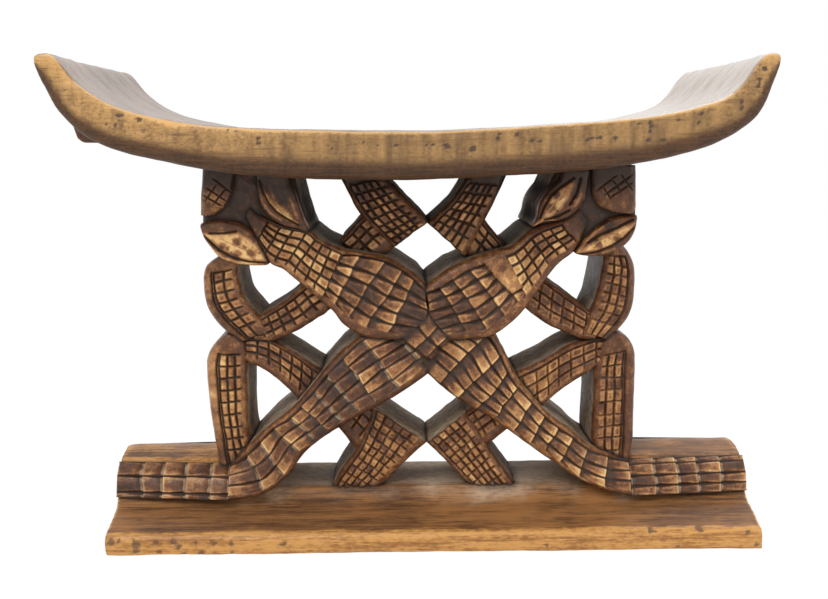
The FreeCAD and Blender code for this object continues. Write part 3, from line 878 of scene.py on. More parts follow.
right_chest_ribs = [
    ((503, 248.5), (529, 304)), ((477, 256.5), (524.5, 310.5)), ((463, 262), (512, 324)),
    ((446, 271), (492, 337)), ((433, 281), (472, 339.5)), ((426.5, 286), (428, 317), (451, 341)),
]


def to_rails(ribs, rails):
    """Ribs whose two ends are moved onto the traced sides of the member."""
    fitted = []
    for rib in ribs:
        ends = [nearest_on(rail, end) for rail, end in zip(rails, (rib[0], rib[-1]))]
        fitted.append((ends[0], *rib[1:-1], ends[1]))
    return fitted


def nearest_on(line, point):
    """The point of a line of pixels that is nearest to a pixel."""
    line = np.asarray(line, float)
    point = np.asarray(point, float)
    start, run = line[:-1], np.diff(line, axis=0)
    share = unit(((point - start) * run).sum(axis=1) / (run ** 2).sum(axis=1))
    places = start + share[:, None] * run
    return tuple(places[np.linalg.norm(places - point, axis=1).argmin()])


def chest(side, neck_ribs, chest_ribs, rails, neck_columns, chest_columns, plain, seed):
    sinks_mm = np.append(neck_sinks_mm, [0.0] * (len(neck_ribs) - len(neck_sinks_mm)))
    neck = limb(to_rails(neck_ribs, rails), neck_columns, uncut(neck_columns, 2),
                sunk(chest_y, sinks_mm), neck_carving, seed=seed)
    body = limb(to_rails(chest_ribs, rails), chest_columns, plain, chest_y, chest_carving,
                seed=seed + 1)
    return carve(f"{side}_croc_chest", [neck, body])


left_neck_columns = (0, 0.06, 0.24, 0.42, 0.6, 0.78, 0.92, 1)
left_chest_columns = (0, 0.07, 0.24, 0.41, 0.58, 0.75, 0.9, 1)
right_neck_columns = (0, 0.15, 0.33, 0.51, 0.69, 0.86, 1)
right_chest_columns = (0, 0.14, 0.29, 0.44, 0.59, 0.74, 0.88, 1)
chest("left", left_neck_ribs, left_chest_ribs, left_chest_rails, left_neck_columns,
      left_chest_columns, (0, 6), 11)
chest("right", right_neck_ribs, right_chest_ribs, right_chest_rails, right_neck_columns,
      right_chest_columns, (0, 6, (0, 1), (0, 2), (0, 3), (0, 4)), 21)
print("chests:", [len(piece.data.vertices) for piece in carved_pieces], "points")

# %% [markdown]
# ## Hips
# Each lower trunk comes out from under the other crocodile's chest, narrows, and bends into
# the tail along the base. The left crocodile's is on top at the crossing, where its first
# cells fill the diamond between the two chests. Near the tail the face leans back at its
# top, because the tail lies on the side of a ridge.

# %% Hips
hips_y = front_depth("left_croc_hips")

left_hips_rails = (
    ((470, 318), (497, 335), (511.4, 365.9), (520.9, 383.3), (538.4, 404.1), (552.8, 418.4),
     (575, 434), (590, 446.5), (607, 453.5), (632, 454.5)),
    ((409, 357), (426, 379.3), (443, 387.5), (460.5, 402), (495.4, 421.6), (521, 440.6),
     (543.3, 456.5), (561, 468), (580, 480.4), (603, 490.7), (632, 491.5)))
right_hips_rails = (
    ((402, 316), (365, 334), (342, 350), (323.3, 371.6), (300.4, 400.7), (282.1, 417.4),
     (260.7, 433.5), (249, 446.4), (241, 452), (228.6, 456), (216, 457.5)),
    ((447, 352), (426, 378.5), (389, 402.1), (355.4, 419), (332.5, 432.8), (312.6, 446.5),
     (297.5, 461.7), (288, 475.5), (276, 489.5), (263.7, 494.6), (231, 497), (216, 497.3)))

crossing_ribs = [
    ((432, 311), (399, 338)), ((440, 326), (415, 350)), ((450.5, 336.5), (427, 359.5)),
    ((454, 340.5), (431, 363)),
]
left_hips_ribs = [
    ((470, 318), (409, 357)), ((492, 331), (467, 355.5), (441, 384)), ((505, 354), (459, 399)),
    ((513, 369.5), (478, 410)), ((521.5, 384), (494, 420.8)),
]
left_bend_ribs = [
    ((521.5, 384), (494, 420.8)), ((535.5, 401), (513.5, 435)), ((548.5, 414.5), (529, 446.5)),
    ((562, 425.5), (543.5, 456.6)), ((577, 435.5), (560, 467.5)), ((590, 446.5), (579.5, 480.2)),
    ((609, 453.5), (605.5, 491)), ((632, 454.5), (632, 491.5)),
]
right_hips_ribs = [
    ((402, 320), (440, 358)), ((386, 329), (424, 368)), ((360, 338), (402, 392)),
    ((337, 352), (380, 407)), ((323.5, 371), (362, 416)), ((311, 387), (345, 425)),
    ((298, 403), (331, 433.5)),
]
right_bend_ribs = [
    ((298, 403), (331, 433.5)), ((284.5, 415.5), (317.5, 443)), ((269.5, 428), (303, 456)),
    ((256, 438), (286, 478)), ((243.5, 450), (264, 494.5)), ((230, 456), (232, 497)),
]


tail_bulge_share = 0.168
tail_half_depths = (58.0 * mm, 45.5 * mm)
tail_top, tail_low = (0.69, 61.8 * mm), (1.06, 35.2 * mm)
tail_core = ((0.47, 53.4 * mm), (0.75, 34.9 * mm))


def straight_line(x, half, top, bottom, columns):
    """Points across a tail between two places, given as a share of its half depth and a Z."""
    ends = [np.array((x, -share * half, z)) for share, z in (top, bottom)]
    return ends[0] + (ends[1] - ends[0]) * np.asarray(columns)[:, None]


def tail_skin(x, half, columns):
    """Points across a tail on its rounded outer face."""
    line = straight_line(x, half, tail_top, tail_low, columns)
    chord = line[-1] - line[0]
    outwards = np.array((0, chord[2], -chord[1])) * tail_bulge_share
    return line + outwards * np.sin(math.pi * np.asarray(columns))[:, None]


def tail_root(node, end):
    """The line on which a trunk and its tail meet, at one end of the tail's box."""
    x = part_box(node)[end].x
    return lambda columns: tail_skin(x, tail_half_depths[0], columns)


leaning_ribs = 3
leaned_depths_mm = (21.5, 4.2, 0.4)


def bend(ribs, rails, columns, carving, seed, meeting_line):
    """A trunk's bend, whose last ribs lean back and turn into the tail's rounded section."""
    turns = [max(0, i - len(ribs) + 1 + leaning_ribs) / leaning_ribs for i in range(len(ribs))]
    depths = [tuple(hips_y + depth * mm * turn for depth in leaned_depths_mm)
              for turn in turns]
    edges = [edge_round * (1 - 0.85 * turn) for turn in turns]
    return limb(to_rails(ribs, rails), columns, uncut(columns), depths, carving, edges, seed,
                meeting_line)


crossing_y = chest_y + 0.4 * mm
crossing_depths = sunk(crossing_y, (0, 0, 1)) + sunk(hips_y, (7,))
crossing = limb(crossing_ribs, (0, 0.5, 1), (), crossing_depths, chest_carving, 2 * mm, 31)
left_trunk = limb(to_rails(left_hips_ribs, left_hips_rails), (0, 0.1, 0.28, 0.46, 0.64, 0.82, 1),
                  (0,), hips_y, trunk_carving, seed=32)
left_bend = bend(left_bend_ribs, left_hips_rails, (0, 0.1, 0.38, 0.66, 0.94, 1), trunk_carving,
                 33, tail_root("left_croc_tail_front", 0))
carve("left_croc_hips", [crossing, left_trunk, left_bend])

right_trunk_columns = (0, 0.08, 0.25, 0.42, 0.59, 0.76, 0.92, 1)
right_waist_columns = (0, 0.1, 0.31, 0.52, 0.73, 0.92, 1)
right_trunk = limb(to_rails(right_hips_ribs[:4], right_hips_rails), right_trunk_columns,
                   uncut(right_trunk_columns), hips_y, worn_carving, seed=34)
right_waist = limb(to_rails(right_hips_ribs[3:], right_hips_rails), right_waist_columns,
                   uncut(right_waist_columns), hips_y, worn_carving, seed=36)
right_bend = bend(right_bend_ribs, right_hips_rails, (0, 0.12, 0.4, 0.68, 0.93, 1), worn_carving,
                  35, tail_root("right_croc_tail_front", 1))
carve("right_croc_hips", [right_trunk, right_waist, right_bend])
print("hips:", [len(piece.data.vertices) for piece in carved_pieces[-2:]], "points")

# %% [markdown]
# ## Legs
# All eight legs are built alike: an upper and a lower limb that meet at an elbow or a knee.
# Their ribs follow the rows of cells in the photograph, from the outer side to the inner one.
# The outer legs have a broad plain margin beside their cells, bright from handling and painted
# highlights.

# %% Outer legs
leg_ribs = {
    "left_croc_outer_foreleg_lower": [
        ((217, 257), (243, 257)), ((203, 268), (238.5, 263)), ((202.3, 281), (237, 273.5)),
        ((203.3, 295), (239.5, 287)), ((206.7, 309), (243.5, 298.5)), ((214.5, 321.5), (251, 307.5)),
        ((224, 331.5), (258.5, 315.5)), ((239, 341.5), (269, 332.5))],
    "left_croc_outer_foreleg_upper": [
        ((250, 322), (254, 343)), ((258.5, 317), (266, 343)), ((266, 312.5), (276, 341)),
        ((274.5, 307.5), (287.5, 336)), ((283, 302), (299, 330.5)), ((291.5, 295), (310, 323.5)),
        ((300, 287.5), (321.5, 316)), ((309, 280), (333, 308))],
    "right_croc_outer_foreleg_lower": [
        ((624, 245), (603, 247)), ((634.5, 261), (604.5, 257)), ((636.2, 275), (603, 268)),
        ((635.8, 288), (600.5, 280)), ((634.8, 300.5), (598, 292)), ((632, 314), (595, 303.5)),
        ((624.5, 325.5), (589.5, 313)), ((609, 339.5), (582, 332.5))],
    "right_croc_outer_foreleg_upper": [
        ((600, 317), (596, 341)), ((588, 309.5), (583, 340)), ((576.5, 301), (572, 336)),
        ((565, 292.5), (560.5, 331)), ((554, 284.5), (548.5, 325.5)), ((543, 276.5), (536.5, 317.5)),
        ((532, 268.5), (525.5, 309))],
    "left_croc_outer_hindleg_lower": [
        ((617, 331), (604, 340)), ((628.5, 338), (601, 347)), ((635, 350), (599, 356.5)),
        ((636.3, 364), (595.5, 367.5)),
        ((636, 376), (595, 379)), ((635.8, 388), (594.8, 391)), ((635.3, 400.5), (594.5, 403)),
        ((634.8, 413.5), (593.7, 416)), ((634.5, 425), (593, 427.5)), ((634.2, 436.5), (592.5, 439)),
        ((632.5, 449), (594, 452)), ((631, 462), (596, 465))],
    "left_croc_outer_hindleg_upper": [
        ((612, 338), (608, 364)), ((597, 337.5), (596.5, 369)), ((584, 341), (584.5, 376.5)),
        ((571, 345), (571.5, 384.5)), ((558.5, 351.5), (559.5, 393)), ((547.5, 358.5), (549, 402)),
        ((535.5, 364.5), (539, 411)), ((522, 371), (528, 419)), ((507, 378), (516, 427))],
    "right_croc_outer_hindleg_lower": [
        ((226, 334), (243, 339)), ((215, 343), (245, 346)), ((208, 354), (246, 355.5)),
        ((206, 367), (246.5, 366)),
        ((206.2, 380.5), (246.5, 377)), ((207.4, 393), (246.5, 389)), ((208.7, 404.5), (246.5, 401)),
        ((210.3, 417.5), (246.8, 413)), ((212.5, 429.5), (247.5, 426)), ((214.3, 441.5), (249, 437)),
        ((216.3, 453), (251.5, 447.5)), ((218.5, 466), (256, 461))],
    "right_croc_outer_hindleg_upper": [
        ((232, 341), (236, 360)), ((244, 338.5), (246, 363)), ((257, 337.5), (257, 367.5)),
        ((269, 340), (268, 374)), ((281, 345.5), (279, 382.5)), ((292, 352), (289.5, 392)),
        ((302.5, 358.5), (299, 402)), ((313, 365.5), (309, 413)), ((325, 372), (320, 423))],
}
outer_columns = {
    "left_croc_outer_foreleg_lower": (0, 0.25, 0.32, 0.6, 0.87, 1),
    "right_croc_outer_foreleg_lower": (0, 0.22, 0.44, 0.66, 0.88, 1),
    "hindleg_lower": (0, 0.26, 0.32, 0.52, 0.71, 0.88, 1),
    "right_croc_outer_hindleg_upper": (0, 0.07, 0.3, 0.53, 0.76, 1),
    "upper": (0, 0.12, 0.38, 0.64, 0.86, 1),
}
outer_plain_rows = {"left_croc_outer_foreleg_lower": 2, "right_croc_outer_foreleg_lower": 1,
                    "hindleg_lower": 2, "upper": 0}
outer_cells = {"foreleg_lower": 9}
elbow_sinks_mm = (3.2, 1.8, 0.4)


def chosen_for(node, choices, usual=None):
    """The choice whose key ends the node's name."""
    return next((choice for key, choice in choices.items() if node.endswith(key)), usual)


def finer(ribs, count):
    """The same limb with so many cells along it."""
    wanted = np.linspace(0, len(ribs) - 1, count + 1)
    ends = np.array(ribs, float).reshape(len(ribs), 4)
    spaced = np.stack([np.interp(wanted, range(len(ribs)), column) for column in ends.T], 1)
    return [((x1, y1), (x2, y2)) for x1, y1, x2, y2 in spaced]


def leg(node, ribs, columns, plain_rows, sinks_mm, is_dusty, seed):
    """One limb of a leg. An upper limb sinks at its elbow, where the lower one lies on it."""
    sinks = np.zeros(len(ribs))
    if node.endswith("upper"):
        sinks[:len(sinks_mm)] = sinks_mm
    carving = dusty_leg_carving if is_dusty else leg_carving
    carve(node, [limb(ribs, columns, uncut(columns, plain_rows), sunk(front_depth(node), sinks),
                      carving, seed=seed)])


for number, (node, ribs) in enumerate(leg_ribs.items()):
    cells = chosen_for(node, outer_cells, len(ribs) - 1)
    is_right = ribs[0][0][0] > photo_width / 2
    leg(node, finer(ribs, cells), chosen_for(node, outer_columns),
        chosen_for(node, outer_plain_rows), elbow_sinks_mm, is_right, 50 + number)
print("outer legs:", len(leg_ribs), "pieces")

# %% [markdown]
# The inner legs stand further back and are half hidden, with their elbows and knees
# touching on the middle line. Here the lower limb runs right through the bend, and the
# upper one leaves its side, because their cells make one lattice in the photograph.

# %% Inner legs
inner_leg_ribs = {
    "left_croc_inner_foreleg_lower": [
        ((339, 176), (383, 171)), ((347, 191), (390, 181)), ((354.5, 205.5), (398.5, 190)),
        ((362.5, 218.5), (407.5, 199.5)), ((373, 230), (417, 209)), ((383, 239.5), (424.5, 216.5)),
        ((393, 247.5), (428.3, 221.5))],
    "left_croc_inner_foreleg_upper": [
        ((365, 214), (397, 246)), ((356.5, 221.5), (388, 252.5)), ((348.5, 230.5), (379.5, 259)),
        ((340, 240), (371, 266))],
    "right_croc_inner_foreleg_lower": [
        ((469, 171), (507, 175)), ((461.5, 186), (500.5, 190)), ((452.5, 199.5), (493.5, 205)),
        ((443.5, 208.5), (486, 219)), ((435.5, 215.5), (478, 237)), ((427.5, 222.5), (467, 257.5))],
    "right_croc_inner_foreleg_upper": [
        ((480, 214), (460, 250)), ((491, 227.5), (472, 261)), ((502, 241), (484, 271)),
        ((512, 253), (495, 281))],
    "right_croc_inner_hindleg_lower": [
        ((370, 407), (427.3, 443.5)), ((368, 418), (417, 452)), ((364, 430), (408, 460.5)),
        ((359.5, 441.5), (399, 469)), ((354.5, 452.5), (390.5, 477.5)), ((346.5, 463), (382.5, 485.5)),
        ((338.5, 475), (373.5, 493)), ((331, 488), (366, 501))],
    "right_croc_inner_hindleg_upper": [
        ((388, 417), (362, 454)), ((379, 410.5), (352.5, 447)), ((369, 403), (345, 437)),
        ((359, 396), (337, 428))],
    "left_croc_inner_hindleg_lower": [
        ((426.4, 443.5), (467, 412.5)), ((436.5, 453), (474, 421.5)), ((445, 461.5), (480.5, 431)),
        ((453.5, 470), (486, 441)), ((462, 478.5), (492, 452)), ((470, 487), (500.5, 464)),
        ((478, 495), (510, 477)), ((484, 502), (520, 490))],
    "left_croc_inner_hindleg_upper": [
        ((461, 416), (481, 452)), ((471.5, 408.5), (491, 444)), ((482, 401), (501, 436)),
        ((493, 394), (511, 428))],
}
inner_columns = {"lower": (0, 0.11, 0.27, 0.43, 0.58, 0.73, 0.88, 1),
                 "upper": (0, 0.1, 0.32, 0.54, 0.76, 1)}
inner_cells = {"left_croc_inner_foreleg_lower": 9, "right_croc_inner_foreleg_lower": 7,
               "hindleg_lower": 10}
inner_plain_rows = {"foreleg_lower": 1}
inner_sinks_mm = (3.2, 2.6, 0.8)

for number, (node, ribs) in enumerate(inner_leg_ribs.items()):
    cells = chosen_for(node, inner_cells, len(ribs) - 1)
    leg(node, finer(ribs, cells), chosen_for(node, inner_columns),
        chosen_for(node, inner_plain_rows, 0), inner_sinks_mm, "hindleg" in node, 70 + number)
print("inner legs:", len(inner_leg_ribs), "pieces")

# %% [markdown]
# ## Tails
# A tail is a skin on the side of its ridge. Its section is an arc from the groove on top of
# the ridge to a second groove near the base, so its points come from the CAD node's box and
# not from one plane. Cuts across the tail follow the photograph, and the rest is a shingle.

# %% Tails
left_tail_cuts = (231.5, 208.2, 183.4, 159.4, 138.5, 119.2)
right_tail_cuts = (632.0, 657.7, 680.9, 701.9, 725.1, 746.6)
left_tail_columns = (0, 0.44, 0.87, 1)
right_tail_columns = (0, 0.17, 0.52, 0.79, 1)
tail_cuts_row = 475


def tail(node, cuts, columns, side, seed):
    """A tail's skin on the front (side -1) or on the back (side 1) of a ridge."""
    low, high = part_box(node)
    chance = np.random.default_rng(seed)
    columns = np.asarray(columns, float)
    ends = (high.x, low.x) if cuts[0] > cuts[-1] else (low.x, high.x)
    at = on_plane([(cut, tail_cuts_row) for cut in cuts], -tail_half_depths[0])[:, 0]
    at[0], at[-1] = ends
    lattice = np.zeros((len(at), len(columns), 3))
    core = np.zeros((len(at), len(columns), 3))
    for i, x in enumerate(at):
        half = np.interp(abs(x - at[0]), (0, abs(at[-1] - at[0])), tail_half_depths)
        lattice[i] = tail_skin(x, half, columns)
        core[i] = straight_line(x, half, *tail_core, columns)
    shift = chance.uniform(-1, 1, lattice.shape[:2]) * tail_carving.jitter
    shift[[0, -1]] = 0
    lattice[..., 0] += shift
    row, along, column, across, *cell_sizes = grid_over(lattice, tail_carving)
    smooth, inside = (spread(spread(grid, row, along).transpose(1, 0, 2), column,
                             across).transpose(1, 0, 2) for grid in (lattice, core))
    height, face = cell_cuts(row, along, column, across, *cell_sizes, (), tail_carving, chance)
    fade = unit(side_distance(smooth, columns, column, across) / (2 * mm))
    face["wear"] += rub_and_light(smooth)
    skin = smooth + facing_out(smooth) * (height * fade)[..., None]
    both = np.concatenate([skin, inside[:, ::-1]], axis=1)
    both[..., 1] *= -side
    faces = tube_faces(len(row), both.shape[1])
    for end in (0, len(row) - 1):
        faces += cap_faces(end, len(column), 0, end > 0)
    hidden = np.zeros_like(height)
    numbers = {name: np.concatenate([values, hidden], axis=1).ravel()
               for name, values in face.items()}
    return carve(node, [(both.reshape(-1, 3), faces, numbers)])


for side, end in ((-1, "front"), (1, "back")):
    tail(f"right_croc_tail_{end}", left_tail_cuts, left_tail_columns, side, 91)
    tail(f"left_croc_tail_{end}", right_tail_cuts, right_tail_columns, side, 92)
print("tails: 4 pieces")

# %% [markdown]
# ## Heads
# A head has a plain recessed core, a snout block with a few crossed cuts, and two eyes. Lids
# and cuts are traced as lines of pixels, and a point's depth follows from its distance to
# the nearest one. Cutting grooves out of a solid would do it too, but with ragged edges.

# %% Lines traced on a face
def knife_cuts(points, cuts, depth_plane, width, deep):
    """How deep straight knife cuts between pairs of pixels go at points, 0 to deep."""
    total = np.zeros(points.shape[:-1])
    flat = points[..., [0, 2]]
    for start, end in cuts:
        gap, share = off_run(flat, *on_plane((start, end), depth_plane)[:, [0, 2]])
        taper = unit(4 * np.minimum(share, 1 - share) + 0.3)
        total = np.maximum(total, unit(1 - gap / width) * taper)
    return total * deep


def resampled(outline, count):
    """Points evenly spread along a smooth closed outline."""
    outline = np.asarray(outline, float)
    closed = np.concatenate([outline[-1:], outline, outline[:2]])
    index = np.arange(1, len(outline) + 1)
    fine = 12
    curve = spread(closed, np.repeat(index, fine), np.tile(np.arange(fine) / fine, len(index)))
    gaps = np.linalg.norm(np.diff(curve, axis=0, append=curve[:1]), axis=1)
    walked = np.concatenate([[0], np.cumsum(gaps)])
    curve = np.concatenate([curve, curve[:1]])
    wanted = np.linspace(0, walked[-1], count, endpoint=False)
    return np.stack([np.interp(wanted, walked, curve[:, axis]) for axis in range(2)], 1)


def line_gap(points, line, depth_plane):
    """How far points are from a line of pixels, seen from the front."""
    flat = points[..., [0, 2]]
    traced = on_plane(line, depth_plane)[:, [0, 2]]
    nearest = np.full(flat.shape[:-1], 1.0)
    for first, second in zip(traced[:-1], traced[1:]):
        nearest = np.minimum(nearest, off_run(flat, first, second)[0])
    return nearest


def within(points, outline, depth_plane, blur):
    """1 inside a closed line of pixels, 0 outside it, with a soft edge."""
    traced = on_plane(outline, depth_plane)[:, [0, 2]]
    x, z = points[..., 0], points[..., 2]
    inside = np.zeros(x.shape, bool)
    for (x1, z1), (x2, z2) in zip(traced, np.roll(traced, -1, axis=0)):
        crosses = ((z1 > z) != (z2 > z)) & (x < (x2 - x1) * (z - z1) / (z2 - z1 + 1e-12) + x1)
        inside ^= crosses
    gap = line_gap(points, (*outline, outline[0]), depth_plane)
    return unit(0.5 + np.where(inside, gap, -gap) / blur)


corner = on_plane(((0, 0), (3, 4)), -0.066)
print("5 pixels on the heads are", round(np.linalg.norm(corner[1] - corner[0]) / mm, 1), "mm")

# %% [markdown]
# An eye is an almond. Its outline is drawn in towards a middle line in many rings, and each
# ring has its own depth, which rounds the rim. Lids are cut along traced lines, the eyeball
# swells between them, and the stain is spotted, as brown specks show in the real eyes.

# %% An eye
lobe_rings, lobe_points = 36, 200
lobe_edge = ((0.0, 7.0), (0.03, 4.0), (0.08, 2.0), (0.16, 0.8), (0.26, 0.25), (0.4, 0.0), (1.0, 0.3))


def lobe(outline, spine, almond, lids, gold_lines, spots, seed):
    """An eye: drawn-in rings of its outline on the front, mirrored to the back."""
    depth = chest_y
    ring = on_plane(resampled(outline, lobe_points), depth + 3 * mm)
    first, second = on_plane(spine, depth)
    middle = first + off_run(ring, first, second)[1][:, None] * (second - first)
    inward = np.linspace(0, 0.97, lobe_rings) ** 1.3
    sinks = np.interp(inward, *zip(*lobe_edge)) * mm
    front = middle + (ring - middle) * (1 - inward)[:, None, None]
    front[..., 1] = depth + sinks[:, None]
    eyeball = within(front, almond, depth, 3.5 * mm)
    deep = np.zeros(eyeball.shape)
    for lid in lids:
        cut = unit(1 - line_gap(front, lid, depth) / (1.5 * mm))
        deep = np.maximum(deep, cut * 1.9 * mm)
    uneven = ripple_of(front, 14 * mm, seed) * 0.25 * mm
    front[..., 1] += deep + uneven + (1 - eyeball) * 0.9 * mm
    shade = unit(deep / (1.3 * mm) - 0.2)
    wear = 0.26 + 0.78 * eyeball + rub_and_light(front)
    wear[inward < 0.06] += 0.15
    for line, amount in gold_lines:
        wear += amount * unit(1.6 - line_gap(front, line, depth) / (1.1 * mm))
    for spot, radius in spots:
        gap = line_gap(front, (spot, (spot[0] + 0.3 * radius, spot[1] + 0.4 * radius)), depth)
        ragged = 1 + 0.25 * ripple_of(front, 5 * mm, 12)
        wear -= 0.65 * unit(1.5 - gap * ragged / (radius * mm))
    return ringed_body(front, wear, shade)


def ringed_body(front, wear, shade):
    """A closed body from rings on its front and the same rings on its back."""
    back = front * (1, -1, 1)
    wall_count = 14
    shares = (np.arange(1, wall_count) / wall_count)[:, None, None]
    walls = front[0] * (1 - shares) + back[0] * shares
    walls = walls + ripple_of(walls, 16 * mm, 8)[..., None] * (0.3 * mm, 0, 0)
    rings = np.concatenate([front[::-1], walls, back])
    inwards = np.repeat(np.minimum(1, 3 * np.minimum(shares, 1 - shares))[..., 0],
                        front.shape[1], axis=1)
    parts = {"wear": (wear, 0.35 - 0.2 * inwards), "dirt": (shade, 0 * inwards),
             "wall": (0 * wear, inwards)}
    numbers = {name: np.concatenate([face[::-1], side, face]).ravel()
               for name, (face, side) in parts.items()}
    count, around = rings.shape[:2]
    faces = tube_faces(count, around)
    faces.append(list(range(around))[::-1])
    faces.append([(count - 1) * around + i for i in range(around)])
    return rings.reshape(-1, 3), faces, numbers


print("points on an eye's front:", lobe_rings * lobe_points)

# %% [markdown]
# A snout is a plain block, wide at the top and narrow below. The knife crossed its face a
# few times, and the wood beside those cuts is rubbed brighter.

# %% A snout
snout_columns = 23
cut_width, cut_depth, rubbed_width = 1.1 * mm, 1.5 * mm, 3.5 * mm


def snout(outline_rows, cuts, seed):
    """A snout block: a plain limb from top to bottom with straight cuts in its face."""
    plain_columns = np.linspace(0, 1, snout_columns + 1)
    points, faces, numbers = limb(outline_rows, plain_columns, range(snout_columns), chest_y,
                                  faint_carving, seed=seed)
    on_face = numbers["wall"] == 0
    deep = knife_cuts(points, cuts, chest_y, cut_width, cut_depth) * on_face
    points[:, 1] += np.where(points[:, 1] < 0, deep, -deep)
    # the floors of the knife cuts take dirt and painted shade
    numbers["dirt"] = np.maximum(numbers["dirt"], unit(deep / mm))
    numbers["wear"] += 0.35 * knife_cuts(points, cuts, chest_y, rubbed_width, 1.0) * on_face
    return points, faces, numbers


print("a snout's knife cuts are", round(cut_depth / mm, 1), "mm deep")

# %% [markdown]
# The outlines below are traced in the photograph. The two heads differ a little, as hand
# carving does: the left eyes are fuller, and the right ones are drawn out to a point.

# %% Heads
left_outer_eye = ((200.3, 224), (200.7, 231), (204, 239), (210, 247.5), (217, 256), (227, 262),
                  (241, 265), (257, 266), (268, 264.5), (266.5, 255), (261.5, 246), (256, 237),
                  (249, 228.5), (241, 223.5), (228, 220.5), (213, 220.5))
left_inner_eye = ((257, 168), (255.5, 180), (257, 192), (260, 203), (265, 212.5), (273, 220.5),
                  (284, 226.5), (297, 229.8), (309, 232.5), (304.5, 219), (300.5, 208), (296, 194),
                  (290.5, 180), (285, 168))
right_outer_eye = ((576, 253.5), (580.5, 245.5), (588.5, 234), (599, 225.5), (611, 218), (624, 215.5),
                   (637, 215), (637.3, 223), (635.5, 231), (631, 239.5), (624, 246.8), (615, 252.3),
                   (603.5, 256), (589, 256.5))
right_inner_eye = ((533, 227), (536.5, 217), (539, 205), (544.5, 195), (552, 186), (559, 179.5),
                   (565, 168), (589, 168), (588.5, 184), (587, 195.5), (583.5, 202.5), (579, 209),
                   (570.5, 216.5), (559, 221), (545, 222))
left_snout_rows = [((201.5, 168), (234, 168)), ((200.8, 180), (233, 180)), ((200.2, 192), (231, 194)),
                   ((199.8, 204), (224.5, 206)), ((200, 215.5), (214, 214.5))]
right_snout_rows = [((592, 168), (637, 166)), ((592, 182), (637.2, 181)), ((593.5, 196), (637.3, 196)),
                    ((601, 206.5), (637.3, 207)), ((611, 211.5), (634, 213.5))]
left_snout_cuts = (((204.6, 201.4), (217, 183.2)), ((213.2, 204.2), (226.6, 187)),
                   ((222.8, 207.1), (231.8, 193.7)), ((212.2, 177.4), (233.3, 194.7)),
                   ((205, 187), (227, 201.5)), ((202.2, 194.7), (223.7, 207.1)))
right_snout_cuts = (((596.2, 190.9), (617.5, 174.3)), ((604, 195), (634.1, 173.3)),
                    ((609.5, 198), (634, 181.5)), ((602.7, 186), (611, 199)),
                    ((611.9, 178.5), (621, 191.5)), ((620.2, 173), (633.2, 190.9)))
eyes = {
    "left_croc_outer_eye": {
        "outline": left_outer_eye, "spine": ((213, 236), (254, 254)),
        "almond": ((203.6, 233.9), (219, 232.5), (236.1, 232.9), (248.6, 238.7), (256.2, 245.4),
                   (262, 254), (265.5, 261), (245, 259.5), (230, 253), (218, 245.5), (207, 237.5)),
        "lids": (((204.5, 236.5), (211, 243), (219, 250.5), (233, 258), (249, 262), (265, 263)),
                 ((209, 233.5), (222, 233.5), (236, 231.5))),
        "gold_lines": ((((203, 240), (212, 250), (222, 258), (238, 263), (262, 264.5)), 0.5),),
        "spots": (((222, 245), 2.4), ((236, 253.5), 3.0), ((251, 253.5), 3.2), ((237, 242), 3.0),
                  ((244, 247.5), 1.6), ((227, 248), 1.6))},
    "left_croc_inner_eye": {
        "outline": left_inner_eye, "spine": ((270, 178), (295, 219)),
        "almond": ((262, 187), (270, 197), (279, 208), (290, 216), (297, 224), (285, 219),
                   (275, 211), (266, 201)),
        "lids": (((259, 180), (263, 192), (268.5, 203), (276, 211.5), (284, 217), (298, 225)),),
        "gold_lines": ((((270, 186), (272, 195), (279, 206), (288, 214)), 0.35),
                       (((266.6, 177), (281, 188), (292, 203), (297, 218)), 0.3),
                       (((258, 190), (262, 203), (270, 213), (281, 220)), 0.45)),
        "spots": (((281, 196), 4.2), ((285, 183), 4.0))},
    "right_croc_outer_eye": {
        "outline": right_outer_eye, "spine": ((590, 246), (624, 228)),
        "almond": ((579, 252.5), (590, 245), (600, 239), (615.6, 231.5), (635, 222.5), (631, 231),
                   (620, 240), (609, 246.5), (596, 250.5)),
        "lids": (((580, 255), (597, 252), (612, 246), (624, 238), (634, 228)),
                 ((588, 243), (600, 235), (617, 228), (633, 219.5))),
        "gold_lines": ((((578, 252), (586, 241), (597, 231), (609, 223.5)), 0.4),
                       (((583, 255.5), (600, 254), (615, 249)), 0.25)),
        "spots": (((598, 243), 2.8), ((608, 225.5), 3.5), ((617, 238), 2.6))},
    "right_croc_inner_eye": {
        "outline": right_inner_eye, "spine": ((547, 213), (574, 180)),
        "almond": ((541.6, 219.6), (546, 209), (551, 199), (558, 191), (568, 184), (575, 180),
                   (573, 190), (567, 200), (559, 210), (550, 217)),
        "lids": (((581, 178), (577, 193), (570, 204.5)), ((540, 218), (545, 206), (552, 194.5),
                 (561, 187), (574, 178)), ((545, 220), (558, 216), (570, 210))),
        "gold_lines": ((((535, 226), (543, 221.5), (556, 221)), 0.4),
                       (((583, 186), (581, 196), (575, 206)), 0.3)),
        "spots": (((557, 195), 3.0), ((551, 207), 3.0))},
}


core_cells = 9


def head(side, core_rows, snout_rows, snout_cuts):
    core_columns = np.linspace(0, 1, core_cells + 1)
    core = limb(core_rows, core_columns, range(core_cells), recess_y, faint_carving, seed=101)
    core[2]["wear"][:] = -0.02
    facets = np.abs(ripple_of(core[0] * (1, 0, 1), 24 * mm, 15)) * 0.8 * mm
    core[0][:, 1] -= np.sign(core[0][:, 1]) * facets * (core[2]["wall"] == 0)
    carve(f"{side}_croc_head", [core])
    carve(f"{side}_croc_snout", [snout(snout_rows, snout_cuts, 102)])


